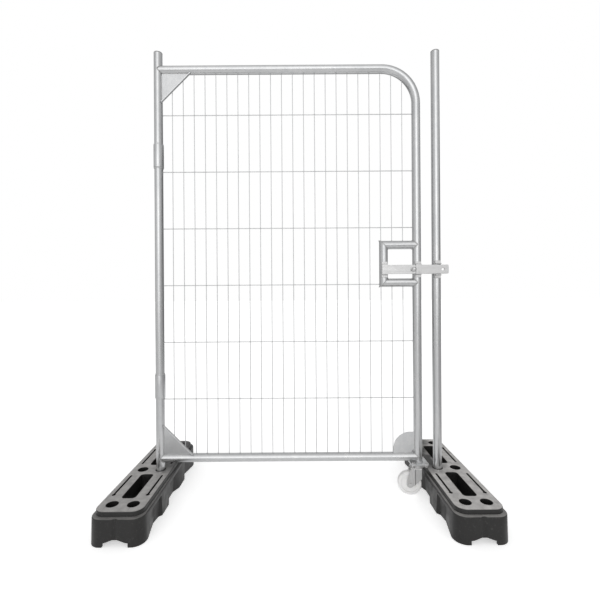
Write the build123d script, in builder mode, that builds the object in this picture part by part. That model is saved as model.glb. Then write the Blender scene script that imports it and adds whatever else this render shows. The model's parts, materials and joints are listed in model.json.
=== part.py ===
from build123d import *
import math
import os

# Pedestrian gate for a site fence, in millimetres.
# The origin is on the ground, midway between the hinge stile and the latch post.
# X runs along the gate towards the latch post, Y runs away from the bolt side, and Z is up.

# Steel tubes and the layout of the gate
TUBE_OD = 38.0
TUBE_WALL = 2.0
POST_TOP_Z = 1995.0
LEAF_SPACING = 1162.0
LATCH_GAP = 88.0
TOP_RAIL_DROP = 74.0
BOTTOM_RAIL_Z = 172.0
BEND_RADIUS = 155.0
STILE_END_Z = 150.0
WELD_GAP = 0.05
SEAT_GAP = 0.3

# Tube end plugs
CAP_RIM = 5.0
CAP_ROUND = 2.5
CAP_PLUG = 14.0
CAP_FIT = 0.15

# Turning sleeves on the hinge stile, and the rings that hold their heights
SLEEVE_OD = 44.5
SLEEVE_LENGTH = 102.0
SLEEVE_GAP = 0.3
UPPER_SLEEVE_DROP = 463.0
LOWER_SLEEVE_Z = 496.0
STOP_RING_OD = 42.0
STOP_RING_HEIGHT = 4.0
STOP_RING_GAP = 0.4

# Wire mesh
UPRIGHT_WIRES = 22
UPRIGHT_WIRE_DIA = 3.0
WIRE_MARGIN = 63.0
CROSS_WIRES = 6
CROSS_WIRE_DIA = 4.0
TOP_WIRE_DROP = 202.5
BOTTOM_WIRE_RISE = 264.0

# Corner plates
GUSSET_THICKNESS = 4.0
GUSSET_LEG = 132.0
GUSSET_LIP = 11.0
GUSSET_SETBACK = 4.0
ROUND_GUSSET_SIZE = 93.0
ROUND_GUSSET_RADIUS = 75.0
ROUND_GUSSET_CLIP = 13.0

# Hand window
WINDOW_DEPTH = 150.0
WINDOW_UPPER_Z = 1126.0
WINDOW_LOWER_Z = 956.0

# Sliding bolt, its guides and its keeper
BAR_LENGTH = 298.0
BAR_HEIGHT = 40.0
BAR_THICKNESS = 8.0
BAR_Z = 1014.0
BAR_OVERREACH = 46.0
BAR_CORNER = 6.0
BAR_GAP = 0.4
PADLOCK_HOLE_DIA = 13.0
PADLOCK_HOLE_INSET = 25.0
GUIDE_WIDTH = 25.0
GUIDE_THICKNESS = 4.0
GUIDE_HEIGHT = 70.0
KEEPER_HEIGHT = 78.0
KEEPER_GAP = 2.5
KEEPER_REACH = 13.0
KEEPER_FLARE = 1.5
KNOB_DIA = 20.0
KNOB_WAIST_DIA = 13.0
KNOB_COLLAR = 5.0
KNOB_WAIST = 5.0
KNOB_HEAD = 9.0
KNOB_STOP_GAP = 0.3

# Moulded feet
FOOT_WIDTH = 203.0
FOOT_LENGTH = 698.0
FOOT_HEIGHT = 120.0
FOOT_DRAFT = 1.2
FOOT_CORNER = 45.0
FOOT_EDGE = 5.0
DECK_STEP = 19.0
DECK_INSET = 11.5
DECK_END_INSET = 17.0
DECK_CORNER = 40.0
DECK_EDGE = 4.0
END_DIP = 5.0
END_DIP_WIDTH = 24.0
SOCKET_DIA = 44.0
SOCKET_FLOOR = 12.0
SOCKET_SPACING = 80.0
SOCKET_END_INSET = 68.0
SLOT_WIDTH = 54.0
SLOT_START = 45.0
SLOT_END_GAP = 41.0
SLOT_CORNER = 14.0
SLIT_WIDTH = 7.0
SLIT_START = 55.0
SLIT_END_GAP = 60.0
SLIT_OFFSET = 67.0
SLIT_DEPTH = 28.0
SLIT_EYE_DIA = 13.0
POCKET_MOUTH = 150.0
POCKET_FLOOR = 60.0
POCKET_HEIGHT = 84.0
POCKET_DEPTH = 18.0
POCKET_DRAFT = 3.0
END_POCKET_INSET = 48.0
END_POCKET_FLANK = 98.0
END_POCKET_FLOOR = 42.0
END_POCKET_SHALLOW = 13.0
END_POCKET_STEP = 12.0
NOTCH_WIDTH = 95.0
NOTCH_SIDE = 16.0
NOTCH_CROWN = 28.0
NOTCH_DEPTH = 43.0
NOTCH_WALL = 12.0
CORE_WIDTH = 131.0
CORE_HEIGHT = 32.0

# Castor plates and fasteners
PLATE_LENGTH = 78.0
PLATE_WIDTH = 74.0
PLATE_CORNER = 8.0
MOUNT_PLATE_THICKNESS = 5.0
TOP_PLATE_THICKNESS = 3.0
BOLT_SPACING_X = 58.0
BOLT_SPACING_Y = 56.0
BOLT_DIA = 8.0
BOLT_HOLE_DIA = 9.0
BOLT_HEAD_FLATS = 13.0
BOLT_HEAD_HEIGHT = 5.3
BOLT_TAIL = 3.0
NUT_HEIGHT = 6.5
HEX_CONE_BASE = 0.62
HEX_CONE_TOP = 0.535

# Castor swivel head
RACE_RADIUS = 19.0
BALL_DIA = 6.0
BALL_COUNT = 16
BALL_GAP = 0.05
TRACK_DEPTH = 1.0
RACE_DEPTH = 5.0
SKIRT_DROP = 4.0
SKIRT_THICKNESS = 2.0
SKIRT_GAP = 1.5
CROWN_RADIUS = 27.0
CROWN_THICKNESS = 5.0
KINGPIN_DIA = 12.0
KINGPIN_HEAD_DIA = 22.0
KINGPIN_HEAD_HEIGHT = 3.5
KINGPIN_RECESS_GAP = 1.0
KINGPIN_GAP = 0.1
KINGPIN_NUT_FLATS = 18.0
KINGPIN_NUT_HEIGHT = 7.0

# Castor fork, axle and wheel
TRAIL = 38.0
TRAIL_ANGLE = 172.0
WHEEL_DIA = 104.0
WHEEL_WIDTH = 30.0
WHEEL_SHOULDER = 6.0
WHEEL_WEB = 20.0
WHEEL_RIM = 13.0
HUB_DIA = 34.0
HUB_LENGTH = 36.0
HUB_GAP = 0.5
FORK_THICKNESS = 4.0
FORK_BEND = 8.0
FORK_FRONT = 13.0
FORK_BACK = 33.0
FORK_SHOULDER = 51.0
FORK_END_RADIUS = 15.0
FORK_RIB_PLACE = 18.5
FORK_RIB_WIDTH = 11.0
FORK_RIB_HEIGHT = 3.0
BUSH_OD = 14.0
BUSH_RUNNING_GAP = 0.05
AXLE_DIA = 8.0
AXLE_GAP = 0.1
AXLE_HEAD_FLATS = 13.0
AXLE_HEAD_HEIGHT = 5.3
AXLE_NUT_HEIGHT = 6.5
AXLE_TAIL = 2.5

# Places worked out from the sizes above
TUBE_R = TUBE_OD / 2
BORE_R = TUBE_R - TUBE_WALL
COPE_R = TUBE_R + WELD_GAP
POST_SPACING = LEAF_SPACING + LATCH_GAP
HINGE_X = -POST_SPACING / 2
LATCH_X = POST_SPACING / 2
LOCK_X = HINGE_X + LEAF_SPACING
TOP_RAIL_Z = POST_TOP_Z - TOP_RAIL_DROP
UPPER_SLEEVE_Z = POST_TOP_Z - UPPER_SLEEVE_DROP
WINDOW_X = LOCK_X - WINDOW_DEPTH
LEFT_FOOT_X = HINGE_X - SOCKET_SPACING / 2
RIGHT_FOOT_X = LATCH_X + SOCKET_SPACING / 2
SOCKET_PITCH = FOOT_LENGTH / 2 - SOCKET_END_INSET
SLOT_LENGTH = SOCKET_PITCH - SLOT_END_GAP - SLOT_START
SLOT_CENTRE = SLOT_START + SLOT_LENGTH / 2
SLIT_LENGTH = SOCKET_PITCH - SLIT_END_GAP - SLIT_START
SLIT_CENTRE = SLIT_START + SLIT_LENGTH / 2
STILE_BASE_Z = SOCKET_FLOOR + SEAT_GAP
BAR_BACK_Y = -TUBE_R - BAR_GAP
BAR_FRONT_Y = BAR_BACK_Y - BAR_THICKNESS
BAR_RIGHT_X = LATCH_X + BAR_OVERREACH
MOUNT_PLATE_Z = STILE_END_Z - MOUNT_PLATE_THICKNESS
TOP_PLATE_Z = MOUNT_PLATE_Z - TOP_PLATE_THICKNESS
RACE_Z = TOP_PLATE_Z - RACE_DEPTH
BALL_Z = RACE_Z + TRACK_DEPTH - BALL_DIA / 2
CROWN_TOP_Z = BALL_Z - BALL_DIA / 2 + TRACK_DEPTH
CROWN_Z = CROWN_TOP_Z - CROWN_THICKNESS
FORK_WEB_Z = CROWN_Z - FORK_THICKNESS
TRACK_R = BALL_DIA / 2 + BALL_GAP
AXLE_Z = WHEEL_DIA / 2
FORK_INNER = HUB_LENGTH + 2 * HUB_GAP
FORK_OUTER = FORK_INNER + 2 * FORK_THICKNESS
FORK_REACH = FORK_FRONT + TRAIL + FORK_END_RADIUS
TRAIL_DIRECTION = Vector(math.cos(math.radians(TRAIL_ANGLE)), math.sin(math.radians(TRAIL_ANGLE)), 0)
AXLE_DIRECTION = TRAIL_DIRECTION.rotate(Axis.Z, 90)
FORK_SIDE_PLANE = Plane((LOCK_X, 0, 0), x_dir=TRAIL_DIRECTION, z_dir=AXLE_DIRECTION * -1)
FORK_END_PLANE = Plane((LOCK_X, 0, 0), x_dir=AXLE_DIRECTION, z_dir=TRAIL_DIRECTION)
AXLE_CENTRE = Vector(LOCK_X, 0, AXLE_Z) + TRAIL_DIRECTION * TRAIL
AXLE_PLANE = Plane(AXLE_CENTRE, x_dir=TRAIL_DIRECTION, z_dir=AXLE_DIRECTION)

pieces = {}


def upright_tube(x, low_z, high_z):
    """A plain tube standing on end."""
    with BuildPart() as tube:
        with BuildSketch(Plane((x, 0, low_z))):
            Circle(TUBE_R)
            Circle(BORE_R, mode=Mode.SUBTRACT)
        extrude(amount=high_z - low_z)
    return tube.part


def tube_cap(x):
    """A domed plug in the top end of a tube."""
    with BuildPart(Plane((x, 0, POST_TOP_Z))) as cap:
        Cylinder(TUBE_R, CAP_RIM, align=(Align.CENTER, Align.CENTER, Align.MIN))
        fillet(cap.edges().sort_by(Axis.Z)[-1], CAP_ROUND)
        Cylinder(BORE_R - CAP_FIT, CAP_PLUG, align=(Align.CENTER, Align.CENTER, Align.MAX))
    return cap.part


def hinge_sleeve(centre_z):
    """A collar that turns on the hinge stile."""
    with BuildPart() as sleeve:
        with BuildSketch(Plane((HINGE_X, 0, centre_z - SLEEVE_LENGTH / 2))):
            Circle(SLEEVE_OD / 2)
            Circle(TUBE_R + SLEEVE_GAP, mode=Mode.SUBTRACT)
        extrude(amount=SLEEVE_LENGTH)
    return sleeve.part


def foot(centre_x):
    """A moulded foot block: body, raised deck, sockets, slots, slits, side pockets and end notches."""
    body_height = FOOT_HEIGHT - DECK_STEP
    half_width = FOOT_WIDTH / 2
    half_length = FOOT_LENGTH / 2
    dip_radius = (END_DIP_WIDTH**2 / 4 + END_DIP**2) / (2 * END_DIP)
    ground = Plane((centre_x, 0, 0))
    deck = ground.offset(FOOT_HEIGHT)
    with BuildPart() as block:
        with BuildSketch(ground):
            RectangleRounded(FOOT_WIDTH, FOOT_LENGTH, FOOT_CORNER)
            with GridLocations(0, FOOT_LENGTH - 2 * END_DIP + 2 * dip_radius, 1, 2):
                Circle(dip_radius, mode=Mode.SUBTRACT)
        extrude(amount=body_height, taper=FOOT_DRAFT)
        fillet(block.faces().sort_by(Axis.Z)[-1].edges(), FOOT_EDGE)
        with BuildSketch(ground.offset(body_height)):
            RectangleRounded(FOOT_WIDTH - 2 * DECK_INSET, FOOT_LENGTH - 2 * DECK_END_INSET, DECK_CORNER)
        extrude(amount=DECK_STEP)
        fillet(block.faces().sort_by(Axis.Z)[-1].edges(), DECK_EDGE)
        with BuildSketch(deck):
            with GridLocations(SOCKET_SPACING, SOCKET_PITCH, 2, 3):
                Circle(SOCKET_DIA / 2)
        extrude(amount=SOCKET_FLOOR - FOOT_HEIGHT, mode=Mode.SUBTRACT)
        with BuildSketch(deck):
            with GridLocations(0, 2 * SLOT_CENTRE, 1, 2):
                RectangleRounded(SLOT_WIDTH, SLOT_LENGTH, SLOT_CORNER)
        extrude(amount=-FOOT_HEIGHT, mode=Mode.SUBTRACT)
        with BuildSketch(deck):
            with GridLocations(2 * SLIT_OFFSET, 2 * SLIT_CENTRE, 2, 2):
                SlotOverall(SLIT_LENGTH, SLIT_WIDTH, rotation=90)
            with GridLocations(2 * SLIT_OFFSET, 2 * SLIT_CENTRE + SLIT_LENGTH - SLIT_EYE_DIA, 2, 2):
                Circle(SLIT_EYE_DIA / 2)
        extrude(amount=-SLIT_DEPTH, mode=Mode.SUBTRACT)
        with BuildSketch(ground):
            with BuildLine():
                Polyline(
                    (half_width + POCKET_DEPTH, POCKET_MOUTH - POCKET_FLOOR / 2),
                    (half_width - POCKET_DEPTH, POCKET_FLOOR / 2),
                    (half_width - POCKET_DEPTH, -POCKET_FLOOR / 2),
                    (half_width + POCKET_DEPTH, POCKET_FLOOR / 2 - POCKET_MOUTH),
                    close=True,
                )
            make_face()
            mirror(about=Plane.YZ)
        extrude(amount=POCKET_HEIGHT, taper=POCKET_DRAFT, mode=Mode.SUBTRACT)
        mouth_y = half_length - END_POCKET_INSET
        flank_y = mouth_y - END_POCKET_FLANK
        floor_y = flank_y - END_POCKET_FLOOR
        step_y = floor_y - END_POCKET_STEP
        with BuildSketch(ground):
            with BuildLine():
                Polyline(
                    (half_width + POCKET_DEPTH, mouth_y + END_POCKET_FLANK),
                    (half_width - POCKET_DEPTH, flank_y),
                    (half_width - END_POCKET_SHALLOW, floor_y),
                    (half_width + END_POCKET_SHALLOW, step_y - END_POCKET_STEP),
                    close=True,
                )
            make_face()
            mirror(about=Plane.XZ)
            mirror(about=Plane.YZ)
        extrude(amount=POCKET_HEIGHT, taper=POCKET_DRAFT, mode=Mode.SUBTRACT)
        core_length = NOTCH_DEPTH - NOTCH_WALL
        with BuildSketch(ground):
            with GridLocations(0, FOOT_LENGTH - 2 * NOTCH_DEPTH + core_length, 1, 2):
                Rectangle(CORE_WIDTH, core_length)
        extrude(amount=CORE_HEIGHT, mode=Mode.SUBTRACT)
        for end_y in (-half_length, half_length):
            with BuildSketch(Plane((centre_x, end_y, 0), x_dir=(1, 0, 0), z_dir=(0, -1, 0))):
                with BuildLine():
                    Polyline(
                        (NOTCH_WIDTH / 2, NOTCH_SIDE),
                        (NOTCH_WIDTH / 2, 0),
                        (-NOTCH_WIDTH / 2, 0),
                        (-NOTCH_WIDTH / 2, NOTCH_SIDE),
                    )
                    Spline(
                        (-NOTCH_WIDTH / 2, NOTCH_SIDE),
                        (0, NOTCH_CROWN),
                        (NOTCH_WIDTH / 2, NOTCH_SIDE),
                        tangents=[(1, 0), (1, 0)],
                    )
                make_face()
            extrude(amount=NOTCH_DEPTH, both=True, mode=Mode.SUBTRACT)
    return block.part


def folded_gusset(rail_z, up):
    """A triangular corner plate with a lip folded forward along its long edge.

    up is +1 where the plate stands on its rail and -1 where it hangs below it.
    """
    corner_x = HINGE_X + TUBE_R
    corner_z = rail_z + up * TUBE_R
    lip_step = GUSSET_THICKNESS * math.sqrt(2)
    back = Plane((0, -GUSSET_SETBACK, 0), x_dir=(1, 0, 0), z_dir=(0, -1, 0))
    with BuildPart() as plate:
        with BuildSketch(back):
            with BuildLine():
                Polyline(
                    (HINGE_X, rail_z),
                    (corner_x + GUSSET_LEG, rail_z),
                    (corner_x + GUSSET_LEG, corner_z),
                    (corner_x, corner_z + up * GUSSET_LEG),
                    (HINGE_X, corner_z + up * GUSSET_LEG),
                    close=True,
                )
            make_face()
        extrude(amount=GUSSET_THICKNESS)
        with BuildSketch(back):
            with BuildLine():
                Polyline(
                    (corner_x + GUSSET_LEG, corner_z),
                    (corner_x, corner_z + up * GUSSET_LEG),
                    (corner_x, corner_z + up * (GUSSET_LEG - lip_step)),
                    (corner_x + GUSSET_LEG - lip_step, corner_z),
                    close=True,
                )
            make_face()
        extrude(amount=GUSSET_THICKNESS + GUSSET_LIP)
        with Locations((HINGE_X, 0, rail_z)):
            Cylinder(COPE_R, 2 * POST_TOP_Z, mode=Mode.SUBTRACT)
            Cylinder(COPE_R, 2 * LEAF_SPACING, rotation=(0, 90, 0), mode=Mode.SUBTRACT)
    return plate.part


def bolt_guide(tube_x):
    """A hat-shaped strap across the front of a tube, with room for the bolt to slide behind it."""
    inside = BAR_HEIGHT / 2 + BAR_GAP
    outside = inside + GUIDE_THICKNESS
    top = GUIDE_HEIGHT / 2
    flange_y = -TUBE_R - GUIDE_THICKNESS
    web_y = BAR_FRONT_Y - BAR_GAP
    with BuildPart() as guide:
        with BuildSketch(Plane((tube_x, 0, BAR_Z), x_dir=(0, 1, 0), z_dir=(1, 0, 0))):
            with BuildLine():
                Polyline(
                    (0, top),
                    (flange_y, top),
                    (flange_y, outside),
                    (web_y - GUIDE_THICKNESS, outside),
                    (web_y - GUIDE_THICKNESS, -outside),
                    (flange_y, -outside),
                    (flange_y, -top),
                    (0, -top),
                    (0, -inside),
                    (web_y, -inside),
                    (web_y, inside),
                    (0, inside),
                    close=True,
                )
            make_face()
        extrude(amount=GUIDE_WIDTH / 2, both=True)
        with Locations((tube_x, 0, BAR_Z)):
            Cylinder(COPE_R, 2 * GUIDE_HEIGHT, mode=Mode.SUBTRACT)
    return guide.part


def hex_blank(plane, flats, height):
    """A hexagonal head or nut with its outer corners chamfered, standing on a plane."""
    with BuildPart(plane) as blank:
        Cone(
            flats * HEX_CONE_BASE,
            flats * HEX_CONE_TOP,
            height,
            align=(Align.CENTER, Align.CENTER, Align.MIN),
        )
        with BuildSketch(plane):
            RegularPolygon(flats / 2, 6, major_radius=False)
        extrude(amount=height, mode=Mode.INTERSECT)
    return blank.part


# Feet
pieces["left_foot"] = foot(LEFT_FOOT_X)
pieces["right_foot"] = foot(RIGHT_FOOT_X)

# Standing tubes and their plugs
pieces["latch_post"] = upright_tube(LATCH_X, SOCKET_FLOOR, POST_TOP_Z)
pieces["latch_post_cap"] = tube_cap(LATCH_X)
pieces["hinge_stile"] = upright_tube(HINGE_X, STILE_BASE_Z, POST_TOP_Z)
pieces["hinge_stile_cap"] = tube_cap(HINGE_X)

# Top rail and lock stile, one bent tube, coped onto the hinge stile
with BuildPart() as lock_frame_tube:
    with BuildLine() as lock_frame_path:
        FilletPolyline(
            (HINGE_X, 0, TOP_RAIL_Z),
            (LOCK_X, 0, TOP_RAIL_Z),
            (LOCK_X, 0, STILE_END_Z),
            radius=BEND_RADIUS,
        )
    with BuildSketch(Plane((HINGE_X, 0, TOP_RAIL_Z), x_dir=(0, 1, 0), z_dir=(1, 0, 0))):
        Circle(TUBE_R)
        Circle(BORE_R, mode=Mode.SUBTRACT)
    sweep(path=lock_frame_path.wire())
    with Locations((HINGE_X, 0, TOP_RAIL_Z)):
        Cylinder(COPE_R, 4 * TUBE_OD, mode=Mode.SUBTRACT)
pieces["lock_frame_tube"] = lock_frame_tube.part

# Bottom rail, coped onto both stiles
with BuildPart() as bottom_rail:
    with BuildSketch(Plane((HINGE_X, 0, BOTTOM_RAIL_Z), x_dir=(0, 1, 0), z_dir=(1, 0, 0))):
        Circle(TUBE_R)
        Circle(BORE_R, mode=Mode.SUBTRACT)
    extrude(amount=LEAF_SPACING)
    with Locations((HINGE_X, 0, BOTTOM_RAIL_Z), (LOCK_X, 0, BOTTOM_RAIL_Z)):
        Cylinder(COPE_R, 4 * TUBE_OD, mode=Mode.SUBTRACT)
pieces["bottom_rail"] = bottom_rail.part

# Hand window: an upright and two arms, mitred together and coped onto the lock stile
upper_mitre = Plane((WINDOW_X, 0, WINDOW_UPPER_Z), x_dir=(0, 1, 0), z_dir=(1, 0, 1))
lower_mitre = Plane((WINDOW_X, 0, WINDOW_LOWER_Z), x_dir=(0, 1, 0), z_dir=(1, 0, -1))
with BuildPart() as window_upright:
    with BuildSketch(Plane((WINDOW_X, 0, WINDOW_LOWER_Z - TUBE_OD))):
        Circle(TUBE_R)
        Circle(BORE_R, mode=Mode.SUBTRACT)
    extrude(amount=WINDOW_UPPER_Z - WINDOW_LOWER_Z + 2 * TUBE_OD)
    split(bisect_by=upper_mitre, keep=Keep.BOTTOM)
    split(bisect_by=lower_mitre, keep=Keep.BOTTOM)
pieces["window_upright"] = window_upright.part

for arm_name, arm_z, arm_mitre in (
    ("window_upper_arm", WINDOW_UPPER_Z, upper_mitre),
    ("window_lower_arm", WINDOW_LOWER_Z, lower_mitre),
):
    with BuildPart() as window_arm:
        with BuildSketch(Plane((WINDOW_X - TUBE_OD, 0, arm_z), x_dir=(0, 1, 0), z_dir=(1, 0, 0))):
            Circle(TUBE_R)
            Circle(BORE_R, mode=Mode.SUBTRACT)
        extrude(amount=WINDOW_DEPTH + TUBE_OD)
        split(bisect_by=arm_mitre, keep=Keep.TOP)
        with Locations((LOCK_X, 0, arm_z)):
            Cylinder(COPE_R, 4 * TUBE_OD, mode=Mode.SUBTRACT)
    pieces[arm_name] = window_arm.part

# The space that the hand window takes, which the mesh is trimmed to
window_middle_x = WINDOW_X + WINDOW_DEPTH / 2
window_middle_z = (WINDOW_LOWER_Z + WINDOW_UPPER_Z) / 2
window_height = WINDOW_UPPER_Z - WINDOW_LOWER_Z
with BuildPart() as window_limits:
    with Locations((window_middle_x, 0, window_middle_z)):
        Box(WINDOW_DEPTH, 2 * COPE_R, window_height)
    with Locations((WINDOW_X, 0, window_middle_z)):
        Cylinder(COPE_R, window_height + TUBE_OD)
    for arm_z in (WINDOW_LOWER_Z, WINDOW_UPPER_Z):
        with Locations((window_middle_x - TUBE_R / 2, 0, arm_z)):
            Cylinder(COPE_R, WINDOW_DEPTH + TUBE_R, rotation=(0, 90, 0))

# Upright wires, in the middle plane of the leaf
leaf_middle_x = (HINGE_X + LOCK_X) / 2
mesh_middle_z = (TOP_RAIL_Z + BOTTOM_RAIL_Z) / 2
mesh_height = TOP_RAIL_Z - BOTTOM_RAIL_Z
mesh_plane = Plane((leaf_middle_x, 0, mesh_middle_z), x_dir=(1, 0, 0), z_dir=(0, -1, 0))
wire_pitch = (LEAF_SPACING - 2 * WIRE_MARGIN) / (UPRIGHT_WIRES - 1)
with BuildPart() as top_limits:
    with BuildSketch(Plane((HINGE_X, 0, TOP_RAIL_Z), x_dir=(0, 1, 0), z_dir=(1, 0, 0))):
        Circle(COPE_R)
    sweep(path=lock_frame_path.wire())
with BuildPart() as upright_wires:
    with Locations((leaf_middle_x, 0, mesh_middle_z)):
        with GridLocations(wire_pitch, 0, UPRIGHT_WIRES, 1):
            Cylinder(UPRIGHT_WIRE_DIA / 2, mesh_height)
    with BuildSketch(mesh_plane) as leaf_field:
        Rectangle(LEAF_SPACING, mesh_height)
        fillet(leaf_field.vertices().group_by(Axis.X)[-1].sort_by(Axis.Y)[-1], BEND_RADIUS)
    extrude(amount=UPRIGHT_WIRE_DIA, both=True, mode=Mode.INTERSECT)
    add(top_limits.part, mode=Mode.SUBTRACT)
    add(window_limits.part, mode=Mode.SUBTRACT)
    with Locations((leaf_middle_x, 0, BOTTOM_RAIL_Z)):
        Cylinder(COPE_R, LEAF_SPACING, rotation=(0, 90, 0), mode=Mode.SUBTRACT)
pieces["upright_wires"] = upright_wires.part

# Cross wires, lying against the back of the upright wires
cross_wire_y = (UPRIGHT_WIRE_DIA + CROSS_WIRE_DIA) / 2
lowest_wire_z = BOTTOM_RAIL_Z + BOTTOM_WIRE_RISE
cross_wire_pitch = (TOP_RAIL_Z - TOP_WIRE_DROP - lowest_wire_z) / (CROSS_WIRES - 1)
with BuildPart() as cross_wires:
    with Locations([
        (leaf_middle_x, cross_wire_y, lowest_wire_z + row * cross_wire_pitch)
        for row in range(CROSS_WIRES)
    ]):
        Cylinder(CROSS_WIRE_DIA / 2, LEAF_SPACING, rotation=(0, 90, 0))
    add(window_limits.part, mode=Mode.SUBTRACT)
    with Locations((HINGE_X, 0, POST_TOP_Z / 2), (LOCK_X, 0, POST_TOP_Z / 2)):
        Cylinder(COPE_R, POST_TOP_Z, mode=Mode.SUBTRACT)
pieces["cross_wires"] = cross_wires.part

# Corner plates
pieces["top_gusset"] = folded_gusset(TOP_RAIL_Z, -1)
pieces["bottom_gusset"] = folded_gusset(BOTTOM_RAIL_Z, 1)

with BuildPart() as round_gusset:
    gusset_plane = Plane((LOCK_X, -GUSSET_SETBACK, BOTTOM_RAIL_Z), x_dir=(1, 0, 0), z_dir=(0, -1, 0))
    gusset_reach = TUBE_R + ROUND_GUSSET_SIZE
    with BuildSketch(gusset_plane) as gusset_outline:
        Rectangle(gusset_reach, gusset_reach, align=(Align.MAX, Align.MIN))
        fillet(gusset_outline.vertices().group_by(Axis.X)[0].sort_by(Axis.Y)[-1], ROUND_GUSSET_RADIUS)
        with Locations((-TUBE_R, TUBE_R)):
            Rectangle(2 * ROUND_GUSSET_CLIP, 2 * ROUND_GUSSET_CLIP, rotation=45, mode=Mode.SUBTRACT)
    extrude(amount=GUSSET_THICKNESS)
    with Locations((LOCK_X, 0, BOTTOM_RAIL_Z)):
        Cylinder(COPE_R, 2 * POST_TOP_Z, mode=Mode.SUBTRACT)
        Cylinder(COPE_R, 2 * LEAF_SPACING, rotation=(0, 90, 0), mode=Mode.SUBTRACT)
pieces["round_gusset"] = round_gusset.part

# Sleeves, and a stop ring at each end of each sleeve
pieces["upper_hinge_sleeve"] = hinge_sleeve(UPPER_SLEEVE_Z)
pieces["lower_hinge_sleeve"] = hinge_sleeve(LOWER_SLEEVE_Z)

ring_offset = SLEEVE_LENGTH / 2 + STOP_RING_GAP + STOP_RING_HEIGHT / 2
with BuildPart() as sleeve_stop_rings:
    with Locations([
        (HINGE_X, 0, sleeve_z + side * ring_offset)
        for sleeve_z in (UPPER_SLEEVE_Z, LOWER_SLEEVE_Z)
        for side in (-1, 1)
    ]):
        Cylinder(STOP_RING_OD / 2, STOP_RING_HEIGHT)
    with Locations((HINGE_X, 0, POST_TOP_Z / 2)):
        Cylinder(COPE_R, POST_TOP_Z, mode=Mode.SUBTRACT)
pieces["sleeve_stop_rings"] = sleeve_stop_rings.part

# Bolt guides on the window upright and the lock stile
pieces["window_bolt_guide"] = bolt_guide(WINDOW_X)
pieces["stile_bolt_guide"] = bolt_guide(LOCK_X)

# Keeper lips above and below the bolt on the latch post, open to the front
with BuildPart() as latch_keeper:
    lip_inside = BAR_HEIGHT / 2 + KEEPER_GAP
    lip_outside = lip_inside + GUIDE_THICKNESS
    lip_root_y = -TUBE_R - GUIDE_THICKNESS
    lip_bend_y = BAR_FRONT_Y
    lip_tip_y = -TUBE_R - KEEPER_REACH
    with BuildSketch(Plane((LATCH_X, 0, BAR_Z), x_dir=(0, 1, 0), z_dir=(1, 0, 0))):
        with BuildLine():
            Polyline(
                (0, KEEPER_HEIGHT / 2),
                (lip_root_y, KEEPER_HEIGHT / 2),
                (lip_root_y, lip_outside),
                (lip_bend_y, lip_outside),
                (lip_tip_y, lip_outside + KEEPER_FLARE),
                (lip_tip_y, lip_inside + KEEPER_FLARE),
                (lip_bend_y, lip_inside),
                (0, lip_inside),
                close=True,
            )
        make_face()
        mirror(about=Plane.XZ)
    extrude(amount=GUIDE_WIDTH / 2, both=True)
    with Locations((LATCH_X, 0, BAR_Z)):
        Cylinder(COPE_R, 2 * KEEPER_HEIGHT, mode=Mode.SUBTRACT)
pieces["latch_keeper"] = latch_keeper.part

# Sliding bolt, a flat bar with a padlock hole at its free end
with BuildPart() as latch_bar:
    bar_plane = Plane((BAR_RIGHT_X, BAR_BACK_Y, BAR_Z), x_dir=(1, 0, 0), z_dir=(0, -1, 0))
    with BuildSketch(bar_plane):
        with Locations((-BAR_LENGTH / 2, 0)):
            RectangleRounded(BAR_LENGTH, BAR_HEIGHT, BAR_CORNER)
        with Locations((-PADLOCK_HOLE_INSET, 0)):
            Circle(PADLOCK_HOLE_DIA / 2, mode=Mode.SUBTRACT)
    extrude(amount=BAR_THICKNESS)
pieces["latch_bar"] = latch_bar.part

# Knob on the bolt, which stops against the stile guide when the bolt is shot
knob_x = LOCK_X - GUIDE_WIDTH / 2 - KNOB_STOP_GAP - KNOB_DIA / 2
with BuildPart() as latch_knob:
    knob_r = KNOB_DIA / 2
    waist_r = KNOB_WAIST_DIA / 2
    waist_top = KNOB_COLLAR + KNOB_WAIST
    head_top = waist_top + KNOB_HEAD
    with BuildSketch(Plane((knob_x, BAR_FRONT_Y, BAR_Z), x_dir=(1, 0, 0), z_dir=(0, 0, 1))):
        with BuildLine():
            Polyline((0, -head_top), (0, 0), (knob_r, 0), (knob_r, -KNOB_COLLAR), (waist_r, -waist_top))
            Line((waist_r, -waist_top), (knob_r, -waist_top))
            Spline(
                (knob_r, -waist_top),
                (0, -head_top),
                tangents=((0, -1), (-1, 0)),
            )
        make_face()
    revolve(axis=Axis((knob_x, 0, BAR_Z), (0, -1, 0)))
pieces["latch_knob"] = latch_knob.part

# Plate welded under the lock stile
with BuildPart() as castor_mount_plate:
    with BuildSketch(Plane((LOCK_X, 0, MOUNT_PLATE_Z))):
        RectangleRounded(PLATE_LENGTH, PLATE_WIDTH, PLATE_CORNER)
        with GridLocations(BOLT_SPACING_X, BOLT_SPACING_Y, 2, 2):
            Circle(BOLT_HOLE_DIA / 2, mode=Mode.SUBTRACT)
    extrude(amount=MOUNT_PLATE_THICKNESS)
pieces["castor_mount_plate"] = castor_mount_plate.part

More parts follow.
